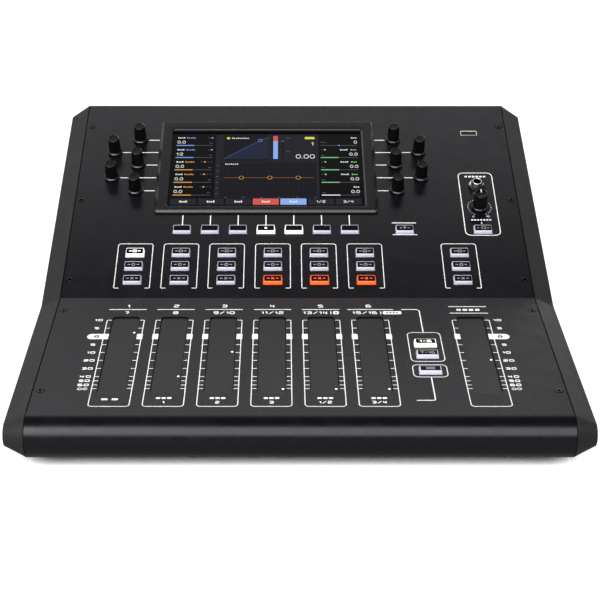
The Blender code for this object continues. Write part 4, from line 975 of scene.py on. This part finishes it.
def makeUsbPort():
    # bright folded rim of the shell, and the dark tongue with its gold contacts
    look = usbLook
    place = upper @ Matrix.Translation((onFace(upper, "monitor_knob").x, look["l"], 0))
    tongue, contacts, rim = bmesh.new(), bmesh.new(), bmesh.new()
    addPlate(tongue, *look["tongue"])
    for x in look["contacts"]:
        addPlate(contacts, x, *look["contact"])
    wide, high = (look["width"] - look["rim"]) / 2, (look["height"] - look["rim"]) / 2
    addStroke(rim, boxPath(0, -wide, -high, high), look["rim"], look["rimCorner"])
    writeFlat("usb_tongue", {"socketPlastic": tongue, "gold": contacts},
              {"socketPlastic": look["tongueHeights"], "gold": look["contactHeights"]}, place=place)
    writeFlat("usb_rim", {"warmChrome": rim}, look["rimHeights"], place=place)


splitSkin("control_board", ["boardGreen", "socketPlastic", "steel"], boardLook, upper)
makeUsbPort()


# phones jack: hex nut, washer and threaded ring round the CAD bore

jackLook = dict(
    body=13.0, depth=24.0, under=-1.8, bodyEdge=0.5, bore=3.1, bushing=4.35, rise=6.0,
    turns=4, turnPitch=0.6, turnHigh=0.3, turnFirst=3.15, turnOut=0.14, turnIn=0.3,
    lip=3.7, lipDepth=0.28, nut=6.5, nutLow=0.35, nutHigh=2.9, washer=5.4, washerLow=0.05,
    contact=2.3, contactLow=-20.0, contactHigh=-18.5)


def hexNut(across, low, high, hole, chamfer=0.45, land=0.6):
    # hexagon with its corners cut back by a cone, and a hole
    bm = bmesh.new()
    bmesh.ops.create_cone(bm, cap_ends=True, segments=6, radius1=across, radius2=across,
                          depth=high - low, matrix=Matrix.Translation((0, 0, (low + high) / 2))
                          @ Matrix.Rotation(pi / 6, 4, "Z"))
    soften(bm, [e for e in bm.edges if all(v.co.z > high - 0.01 for v in e.verts)], chamfer)
    for end in (low, high):
        cap = max((f for f in bm.faces if abs(f.calc_center_median().z - end) < 0.01),
                  key=lambda f: f.calc_area())
        bmesh.ops.inset_region(bm, faces=[cap], thickness=land)
        bmesh.ops.delete(bm, geom=[cap], context="FACES_ONLY")
    loops = [e for e in bm.edges if len(e.link_faces) == 1]
    for v in {v for e in loops for v in e.verts}:
        v.co.xy *= hole / v.co.xy.length
    bmesh.ops.bridge_loops(bm, edges=loops)
    bmesh.ops.recalc_face_normals(bm, faces=bm.faces)
    return bm


def makeJack():
    look = jackLook
    axis = onFace(upper, "phones_jack")
    place = upper @ Matrix.Translation((axis.x, axis.y, 0))
    body, ring, lip, spring = (bmesh.new() for _ in range(4))
    size = Matrix.Diagonal((look["body"], look["body"], look["depth"] + look["under"], 1))
    middle = Matrix.Translation((0, 0, (look["under"] - look["depth"]) / 2))
    bmesh.ops.create_cube(body, size=1, matrix=middle @ size)
    soften(body, list(body.edges), look["bodyEdge"])
    housing = writePiece("jack_housing", body, ["socketPlastic"], place=place)
    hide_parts("phones_jack")
    bushing, bore = look["bushing"], look["bore"]
    shoulder = look["rise"] - look["lipDepth"]
    addTube(ring, bushing, bore + 0.02, look["under"], shoulder, edge=0.3)
    for turn in range(look["turns"]):  # thread over the nut
        low = look["turnFirst"] + look["turnPitch"] * turn
        addTube(ring, bushing + look["turnOut"], bushing - look["turnIn"], low, low + look["turnHigh"],
                edge=0.12)
    # the threaded ring's steel is darkened, painting the shade between the nut and the lip
    writePiece("jack_bushing", ring, ["shadedThreadSteel"], place=place)
    addTube(lip, look["lip"], bore, shoulder - 0.1, look["rise"], edge=0.12)
    writePiece("jack_lip", lip, ["chrome"], place=place)
    nut = hexNut(look["nut"], look["nutLow"], look["nutHigh"], bushing + 0.2)
    addTube(nut, look["washer"], bushing + 0.3, look["washerLow"], look["nutLow"] - look["washerLow"],
            edge=0.1)
    writePiece("jack_nut", nut, ["warmChrome"], place=place)
    addTube(spring, bore - 0.02, look["contact"], look["contactLow"], look["contactHigh"], 24, 0.1)
    writePiece("jack_contact", spring, ["gold"], place=place)


makeJack()


# screws

screwLook = dict(
    head=2.3, sides=28, hex=1.4, depth=0.16, proud=0.2, gap=0.5, ringHeights=(-0.02, 0.03),
    steps=((0.15, 0.1), (0.25, 0.02), (0.5, 0)),  # rim, dome and land, each an inset and its rise
    across=166.7, places=((upper, 192.3), (upper, 104.2), (upper, 19.0), (lower, -17.5), (lower, -122.6)))


def addScrew(bm, place, look=screwLook):
    # countersunk head with a six-sided socket, its floor and walls painted black as shade
    part = bmesh.new()
    addDisc(part, 0, 0, look["head"], look["sides"], look["proud"] - look["steps"][0][1])
    cap = next(iter(part.faces))
    for inset, rise in look["steps"]:
        bmesh.ops.inset_region(part, faces=[cap], thickness=inset, depth=rise, use_boundary=True)
    for v in cap.verts:  # the socket's six flats
        a = math.atan2(v.co.y, v.co.x)
        flat = cos(pi / 6) / cos((a % (pi / 3)) - pi / 6)
        v.co.xy = Vector((cos(a), sin(a))) * look["hex"] * flat
    bmesh.ops.inset_region(part, faces=[cap], thickness=0.02, depth=-look["depth"])
    for face in part.faces:
        face.material_index = int(face.calc_center_median().xy.length < look["hex"])
    ring = bmesh.new()  # a flat black ring round the head: painted shade of the countersink gap
    addRing(ring, 0, 0, look["head"] + look["gap"] / 2, look["gap"], steps=look["sides"])
    raiseFlat(ring, *look["ringHeights"])
    addShape(part, ring, 1)
    bmesh.ops.transform(part, matrix=place, verts=part.verts)
    addShape(bm, part)


def makeTopScrews():
    bm = bmesh.new()
    for side in (-1, 1):
        for face, l in screwLook["places"]:
            addScrew(bm, face @ Matrix.Translation((side * screwLook["across"], l, 0)))
    writePiece("top_screws", bm, ["blackScrew", "paintedHoleShade"])


makeTopScrews()


# the gap between the panel and each cheek, with a black strip in it as painted shade

gapLook = dict(middle=171.5, width=0.5, heights=(-0.03, 0.03),
               runs=((upper, -0.3, 218.0), (lower, -148.0, 0.3)))


def paintGapShade():
    look = gapLook
    whole = bmesh.new()
    for face, first, last in look["runs"]:
        run = bmesh.new()
        for x in (-look["middle"], look["middle"]):
            addStroke(run, [(x, first), (x, last)], look["width"])
        raiseFlat(run, *look["heights"])
        bmesh.ops.transform(run, matrix=face, verts=run.verts)
        addShape(whole, run)
    writePiece("cheek_gap_shade", whole, ["paintedHoleShade"])


paintGapShade()


# touch strips: smooth film in a dark rim, with position lights

stripLook = dict(size=(-76.25, 18.2, 98.7, 2.6, 5), film=(-1.15, -1.02), dot=7.4, disc=(0.8, 16),
                 dots=(-47.2, -103.9, -72.8, -119.1, -119.1, -119.1, -83.2), light=(-1.2, -0.97))


def makeStrips():
    look = stripLook
    film, lights = bmesh.new(), bmesh.new()
    for x, l in zip(columns, look["dots"]):
        addPlate(film, x, *look["size"])
        addDisc(lights, x + look["dot"], l, *look["disc"])
    writeFlat("strip_films", {"stripFilm": film, "ledBlue": lights},
              {"stripFilm": look["film"], "ledBlue": look["light"]}, place=lower)


makeStrips()
print("jack, port, screws and strips ready")


# picture on the touchscreen, in millimetres from the middle of its window

screenLook = dict(
    middle=140.5, glass=-0.1, width=152.4, depth=89.4, lowest=-0.02, lifts=dict(
        screenPanel=0.02, screenWindow=0.04, screenWedge=0.05, screenGrid=0.06, screenGrey=0.07,
        screenTab=0.04, screenLine=0.075, screenAmber=0.075, screenBlue=0.08, screenPale=0.08,
        screenRed=0.08, screenOrange=0.08, screenGreen=0.08, screenYellow=0.08, screenBlack=0.09,
        screenWhite=0.11))


settingLook = dict(  # the columns of five settings, left and right of the picture
    pitch=14.75, label=37.8, value=32.5, figure=(3.5, 0.8), stroke=(0.13, 0.32), bar=28.4,
    barSize=(14.3, 1.0), thin=0.5, start={-1: -73.1, 1: 43.4}, end={-1: -43.7, 1: 73.1},
    dot=(0.85, 14), other=(0.5, 10))


def addMarks(bm, x, l, width, height=1.5):
    # stands where a word would: a row of short plain marks
    count = max(1, round(width / 1.6))
    pitch = width / count
    for i in range(count):
        tall = height if i % 3 == 0 else height * 0.72
        addPlate(bm, x + pitch * (i + 0.5), l - (height - tall) / 2, pitch * 0.74, tall, 0.28, 2)


def screenColumn(shapes, side):
    # five settings beside the picture: name, value, bar and page dots
    look = settingLook
    start, end = look["start"][side], look["end"][side]
    white, dim = shapes["screenWhite"], shapes["screenGrey"]
    for row in range(5):
        label, value, bar = (look[name] - look["pitch"] * row for name in ("label", "value", "bar"))
        if side < 0:
            tint = shapes["screenBlue" if row < 2 else "screenOrange"]
            addMarks(white, start + 0.8, label, 6.0)
            addMarks(tint, start + 7.9, label, 7.6)
            text, x, align = "1:2" if row == 1 else "0.0", start + 0.6, -1
            addMarks(dim, end - 2.8, value - 1.2, 2.8, 1.1)
            dots, others = ((28.7,), (26.2,)) if row < 2 else ((23.7,), (21.2, 26.3, 28.9))
        else:
            plain = row in (0, 4)
            tint = shapes["screenWhite" if plain else "screenGreen"]
            addMarks(white, end - (4.8 if plain else 14.2), label, 4.8 if plain else 6.4)
            if not plain:
                addMarks(tint, end - 5.8, label, 5.0)
            text, x, align = "0.0" if row else "0", end, 1
            addMarks(dim, start + 0.3, value - (1.2 if row else 0.2), 2.8 if row else 4.6, 1.1)
            dots, others = ((), ()) if plain else ((3.5,), (0.9,))
        addText(white, text, x, value, *look["figure"], align, *look["stroke"])
        for x in dots:
            addDisc(tint, start + x, label, *look["dot"])
        for x in others:
            addDisc(dim, start + x, label, *look["other"])
        length, thick = look["barSize"]
        addPlate(dim, (start + end) / 2, bar, end - start, look["thin"])
        if side > 0 and row == 0:
            addPlate(shapes["screenBlue"], start + 15.0, bar, 1.6, 1.0, 0.3, 2)
        else:
            addPlate(tint, start + length / 2, bar, length, thick)


graphLook = dict(
    wedge=((-34.6, 11.9), (1.4, 11.9), (1.4, 38.6), (-5.4, 34.6)),
    curve=((-34.6, 12.0), (-5.4, 34.5), (1.4, 38.6)), line=((-33.6, -10.4), (37.4, -10.4)),
    across=(-34.8, 4.0, 19), up=(-30.8, 4.65, 9), grid=(1.2, -12.2, 76.0, 40.4), gridLine=0.22,
    plates=(  # finish, middle, size, corner
        ("screenPanel", 0.4, 4.2, 82.6, 75.4), ("screenWindow", -16.7, 25.6, 36.6, 31.8),
        ("screenWindow", 1.2, -12.2, 76.0, 40.4), ("screenPale", 7.1, 22.9, 3.7, 21.8),
        ("screenRed", 7.1, 36.9, 3.7, 6.2), ("screenBlack", 12.9, 24.6, 1.0, 25.0),
        ("screenPale", 12.9, 33.8, 1.8, 1.0, 0.3, 2), ("screenYellow", 34.8, 37.5, 8.0, 2.7, 0.8, 3)),
    discs=(("screenBlack", -5.4, 34.5, 1.25, 20), ("screenYellow", -31.2, 37.3, 1.35, 16),
           *(("screenBlack", x, -10.4, 1.6, 20) for x in (-19.9, 2.6, 25.1))),
    rings=(("screenBlue", -5.4, 34.5, 1.5, 0.4),
           *(("screenOrange", x, -10.4, 1.8, 0.45) for x in (-19.9, 2.6, 25.1))),
    marks=(("screenWhite", -28.6, 37.3, 14.2, 1.3), ("screenWhite", -33.2, 5.7, 10.6, 1.3),
           ("screenGrey", 16.0, 37.4, 3.2, 1.2), ("screenGrey", 16.0, 20.8, 3.2, 1.2),
           *(("screenGrey", -40.0, 4.0 - 6.6 * i, 2.0, 0.9) for i in range(6)),
           *(("screenGrey", -33.0 + 14.0 * i, -33.4, 2.4, 0.8) for i in range(6))),
    texts=(("screenWhite", "1", 36.8, 30.3, 4.3, 1.0, 0, 0.14),
           ("screenWhite", "0.00", 38.6, 14.9, 5.0, 0.9, 1, 0.12, 0.32)))


def screenGraphs(shapes):
    # a level curve with its meter above, a frequency line on its grid below
    look = graphLook
    for draw, rows in ((addPlate, "plates"), (addDisc, "discs"), (addRing, "rings"),
                       (addMarks, "marks"), (addText, "texts")):
        for finish, *row in look[rows]:
            draw(shapes[finish], *row)
    wedge = shapes["screenWedge"]
    bmesh.ops.contextual_create(wedge, geom=[wedge.verts.new((*point, 0)) for point in look["wedge"]])
    addStroke(shapes["screenLine"], look["curve"], 0.34, 2.0)
    addStroke(shapes["screenAmber"], look["line"], 0.36)
    x, l, width, depth = look["grid"]
    start, pitch, count = look["across"]
    for i in range(count):
        addPlate(shapes["screenGrid"], start + pitch * i, l, look["gridLine"], depth)
    start, pitch, count = look["up"]
    for i in range(count):
        addPlate(shapes["screenGrid"], x, start + pitch * i, width, look["gridLine"])


tabLook = dict(first=-74.6, pitch=21.4, size=(20.2, 6.9), middle=-38.0, figure=2.6, mark=(6.4, 2.2),
               texts=(None, None, None, None, None, "1/2", "3/4"),
               finishes={3: "screenRed", 4: "screenPale"})


def screenTabs(shapes):
    look = tabLook
    width, middle = look["size"][0], look["middle"]
    reach, tall = look["mark"]
    for i, text in enumerate(look["texts"]):
        x = look["first"] + look["pitch"] * i + width / 2
        addPlate(shapes[look["finishes"].get(i, "screenTab")], x, middle, *look["size"])
        if text:
            addText(shapes["screenWhite"], text, x, middle, look["figure"])
        else:
            addMarks(shapes["screenWhite"], x - reach / 2, middle, reach, tall)


def makeScreen():
    look = screenLook
    shapes = {name: bmesh.new() for name in look["lifts"]}
    for side in (-1, 1):
        screenColumn(shapes, side)
    screenGraphs(shapes)
    screenTabs(shapes)
    heights = {name: (look["lowest"], lift) for name, lift in look["lifts"].items()}
    place = Matrix.Translation((onFace(upper, "touchscreen").x, look["middle"], look["glass"]))
    writeFlat("screen_picture", shapes, heights, place=upper @ place)


makeScreen()
print("screen ready")


# bezel: broad flat chamfers outside and round the window

bezelLook = dict(
    top=2.78, outerCorner=3.0, windowCorner=1.4, cornerSteps=6, wallLean=0.25,
    outerChamfer=(2.2, 1.4), innerChamfer=(1.3, 0.8), foot=0.03, inside=0.25,
    soften=0.16, creases=(20, 60), edgeLean=(0.6, 0.97))


def insetCap(bm, cap, steps):
    # draws the outline of a cap in and up, or down, step by step, and leaves it open
    for inwards, rise in steps:
        bmesh.ops.inset_region(bm, faces=[cap], thickness=inwards, depth=rise, use_boundary=True)
    bmesh.ops.delete(bm, geom=[cap], context="FACES_ONLY")


def makeBezel():
    look = bezelLook
    points = [upper.inverted() @ v.co for v in nodes["screen_bezel"].data.vertices]
    low = Vector((min(p.x for p in points), min(p.y for p in points)))
    high = Vector((max(p.x for p in points), max(p.y for p in points)))
    middle, size = (low + high) / 2, high - low
    bm = bmesh.new()
    addPlate(bm, *middle, *size, look["outerCorner"], look["cornerSteps"], look["foot"])
    wall = look["top"] - look["outerChamfer"][1] - look["foot"]
    insetCap(bm, next(iter(bm.faces)), ((look["wallLean"], wall), look["outerChamfer"]))
    window = bmesh.new()
    reach, fall = look["innerChamfer"]
    grow = 2 * (reach + look["inside"])
    addPlate(window, onFace(upper, "touchscreen").x, screenLook["middle"], screenLook["width"] + grow,
             screenLook["depth"] + grow, look["windowCorner"] + reach, look["cornerSteps"], look["top"])
    drop = look["top"] - fall - look["foot"]
    insetCap(window, next(iter(window.faces)), ((reach, -fall), (look["inside"], -drop)))
    addShape(bm, window)
    for level in (look["top"], look["foot"]):
        rims = [e for e in bm.edges if e.is_boundary
                and all(abs(v.co.z - level) < 0.01 for v in e.verts)]
        bmesh.ops.bridge_loops(bm, edges=rims)
    bmesh.ops.recalc_face_normals(bm, faces=bm.faces)
    least, most = (radians(angle) for angle in look["creases"])
    creases = [e for e in bm.edges if least < e.calc_face_angle(0) < most
               and min(v.co.z for v in e.verts) > look["foot"] + 0.1
               and abs(e.verts[0].co.z - e.verts[1].co.z) < 0.01]
    soften(bm, creases, look["soften"])
    least, most = look["edgeLean"]
    for face in bm.faces:  # the broad chamfers are smoother than the flat
        face.material_index = int(least < face.normal.z < most)
    bezel = writePiece("bezel_frame", bm, ["bezelPlastic", "bezelEdge"], place=upper, sharp=24)
    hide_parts("screen_bezel")


makeBezel()
print("bezel ready")


# rear: socket rims, latches, pins, nuts, mains blades, switch marks and numbers

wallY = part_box("base_tray")[1].y
rear = Matrix.Translation((0, wallY, 0)) @ Matrix(((-1, 0, 0), (0, 0, 1), (0, 1, 0))).to_4x4()
rear = rear @ Matrix.Scale(mm, 4)
openings = {o["name"]: (Vector(o["box_m"][0]) + Vector(o["box_m"][1])) / 2
            for o in frame["record"]["physics"]["openings"]}
rearLook = dict(
    face=1.0, root=0.9, plate=0.06, rim=11.7, rimInside=10.5, rimProud=1.5, boss=4.7, bore=3.3,
    bossProud=1.35, slots=((-4.9, 3.4), (4.9, 3.4), (0.0, -6.6)), slot=1.35, slotRim=0.3, slotProud=1.25,
    hole=1.4, holeProud=1.1, latch=(0, 8.1), latchSize=(5.4, 2.6), latchProud=1.7,
    flangeScrews=((-10.6, 10.6), (10.6, -10.6)),
    cup=9.65, pins=((-3.9, 1.9), (3.9, 1.9), (0.0, -4.1)), pin=(1.2, -14.2, -2.5),
    nut=7.0, nutLow=0.25, lineRing=4.3, lineLow=1.6, lineHigh=2.1,
    blades=((-7.0, -1.8), (7.0, -1.8), (0.0, 1.8)), blade=(2.0, 4.0), bladeHeights=(-16.2, -3.0),
    figure=3.2, inputFigure=14.6, outputFigure=13.6, lineFigure=10.4)
switchLook = dict(valley=1.8, middle=3.7, figure=(3.0, 0.8, 0, 0.16, 0.3), heights=(-0.05, 0.05),
                  marks=(("1", 1, 0), ("0", -1, -2)))  # figure, its side and its lean in rocker tilts
traySides = dict(wallX=(-160.0, -128.0, -40.0, 40.0, 120.0, 160.0), wallZ=14.0,
                 floorX=(-158.0, -60.0, 60.0, 158.0), floorY=(-150.0, -40.0, 100.0, 168.0))


def rearAt(name):
    # a socket's middle on the rear wall, seen from behind
    spot = openings[name] / mm
    return Vector((-spot.x, spot.z))


inputs = [rearAt(f"input_socket_{i + 1}_bore") for i in range(8)]
outputs = [rearAt(f"output_socket_{i + 1}_cup") for i in range(2)]
lineJacks = [rearAt(f"line_socket_{i + 1}_bore") for i in range(4)]
inlet = rearAt("mains_inlet_cup")


def rearLookOf(middle, normal):
    near = any((middle.xy - spot).length < rearLook["nut"] for spot in lineJacks)
    return "steel" if near and middle.z > rearLook["nutLow"] else "socketPlastic"


def addRod(bm, x, y, radius, low, high, sides=20):
    # round pin with a domed end
    part = bmesh.new()
    bmesh.ops.create_cone(part, cap_ends=True, segments=sides, radius1=radius, radius2=radius,
                          depth=high - low, matrix=Matrix.Translation((x, y, (low + high) / 2)))
    tip = [e for e in part.edges if all(v.co.z > high - 0.01 for v in e.verts)]
    soften(part, tip, radius * 0.6, 4)
    addShape(bm, part)


def makeInputs():
    look = rearLook
    root = look["root"]
    rims, latches, holeShades = bmesh.new(), bmesh.new(), bmesh.new()
    for spot in inputs:
        addTube(rims, look["rim"], look["rimInside"], root, look["rimProud"], 48, 0.2, spot)
        addTube(rims, look["boss"], look["bore"], root, look["bossProud"], 48, 0.2, spot)
        addTube(rims, look["rimInside"] + 0.1, look["boss"] - 0.1, root, look["face"] + look["plate"], 48,
                0.02, spot)
        for shift in look["slots"]:
            hole = spot + Vector(shift)
            addTube(rims, look["slot"] + look["slotRim"], look["slot"], root, look["slotProud"], 20, 0.1,
                    hole)
            # a black disc at the foot of each pin hole paints the shade inside it
            addDisc(holeShades, *hole, look["hole"], 20)
        addPlate(latches, *(spot + Vector(look["latch"])), *look["latchSize"], 0.7, 4)
    writePiece("input_rims", rims, ["socketPlastic"], place=rear)
    writeFlat("input_latches", {"steel": latches, "paintedHoleShade": holeShades},
              {"steel": (root, look["latchProud"]), "paintedHoleShade": (root, look["holeProud"])}, place=rear)


def makeOutputs():
    look = rearLook
    rims, pins = bmesh.new(), bmesh.new()
    for spot in outputs:
        addTube(rims, look["rim"], look["cup"], look["root"], look["rimProud"], 48, 0.3, spot)
        for shift in look["pins"]:
            addRod(pins, *(spot + Vector(shift)), *look["pin"])
    writePiece("output_rims", rims, ["socketPlastic"], place=rear)
    writePiece("output_pins", pins, ["steel"], place=rear)


def makeLineRings():
    look = rearLook
    rings = bmesh.new()
    for spot in lineJacks:
        addTube(rings, look["lineRing"], look["bore"], look["lineLow"], look["lineHigh"], 32, 0.15, spot)
    writePiece("line_rings", rings, ["chrome"], place=rear)


def makeBlades():
    blades = bmesh.new()
    for shift in rearLook["blades"]:
        addPlate(blades, *(inlet + Vector(shift)), *rearLook["blade"], 0.4, 2)
    writeFlat("inlet_blades", {"steel": blades}, rearLook["bladeHeights"], place=rear)


def makeSwitchMarks():
    # 1 on the flush half and 0 on the half that stands out, each flat on its own face
    look = switchLook
    tilt = radians(joint("power_rocker_tilt")["range_deg"][1] / 2)
    foot = frameAxis(rear, "power_rocker_tilt") + Vector((0, sin(tilt), cos(tilt))) * look["valley"]
    for figure, side, tilts in look["marks"]:
        bm = bmesh.new()
        addText(bm, figure, 0, 0, *look["figure"])
        lean = tilts * tilt
        out = Vector((0, cos(lean), sin(lean))) * side * look["middle"]
        place = Matrix.Translation(foot + out) @ Matrix.Rotation(lean, 4, "X")
        writeFlat(f"switch_mark_{figure}", {"whiteInk": bm}, look["heights"], "power_rocker", rear @ place)


def makeRearPrint():
    look = rearLook
    bm = bmesh.new()
    for spots, rise in ((inputs, look["inputFigure"]), (outputs, look["outputFigure"]),
                        (lineJacks, look["lineFigure"])):
        for i, spot in enumerate(spots):
            addText(bm, str(i + 1), spot.x, spot.y + rise, look["figure"])
    writeFlat("rear_print", {"whiteInk": bm}, ink, place=rear)


def makeCaseScrews():
    bm = bmesh.new()
    for spot in inputs + outputs:
        for x, y in rearLook["flangeScrews"]:
            addScrew(bm, rear @ Matrix.Translation((spot.x + x, spot.y + y, 0)))
    for x in traySides["wallX"]:
        addScrew(bm, rear @ Matrix.Translation((x, traySides["wallZ"], 0)))
    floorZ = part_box("base_tray")[0].z
    under = Matrix.Translation((0, 0, floorZ)) @ Matrix.Rotation(pi, 4, "X") @ Matrix.Scale(mm, 4)
    for x in traySides["floorX"]:
        for y in traySides["floorY"]:
            addScrew(bm, under @ Matrix.Translation((x, -y, 0)))
    writePiece("case_screws", bm, ["blackScrew", "paintedHoleShade"])


splitSkin("rear_jack_board", ["socketPlastic", "steel"], rearLookOf, rear)
makeInputs()
makeOutputs()
makeLineRings()
makeBlades()
makeSwitchMarks()
makeRearPrint()
makeCaseScrews()
print("rear ready")
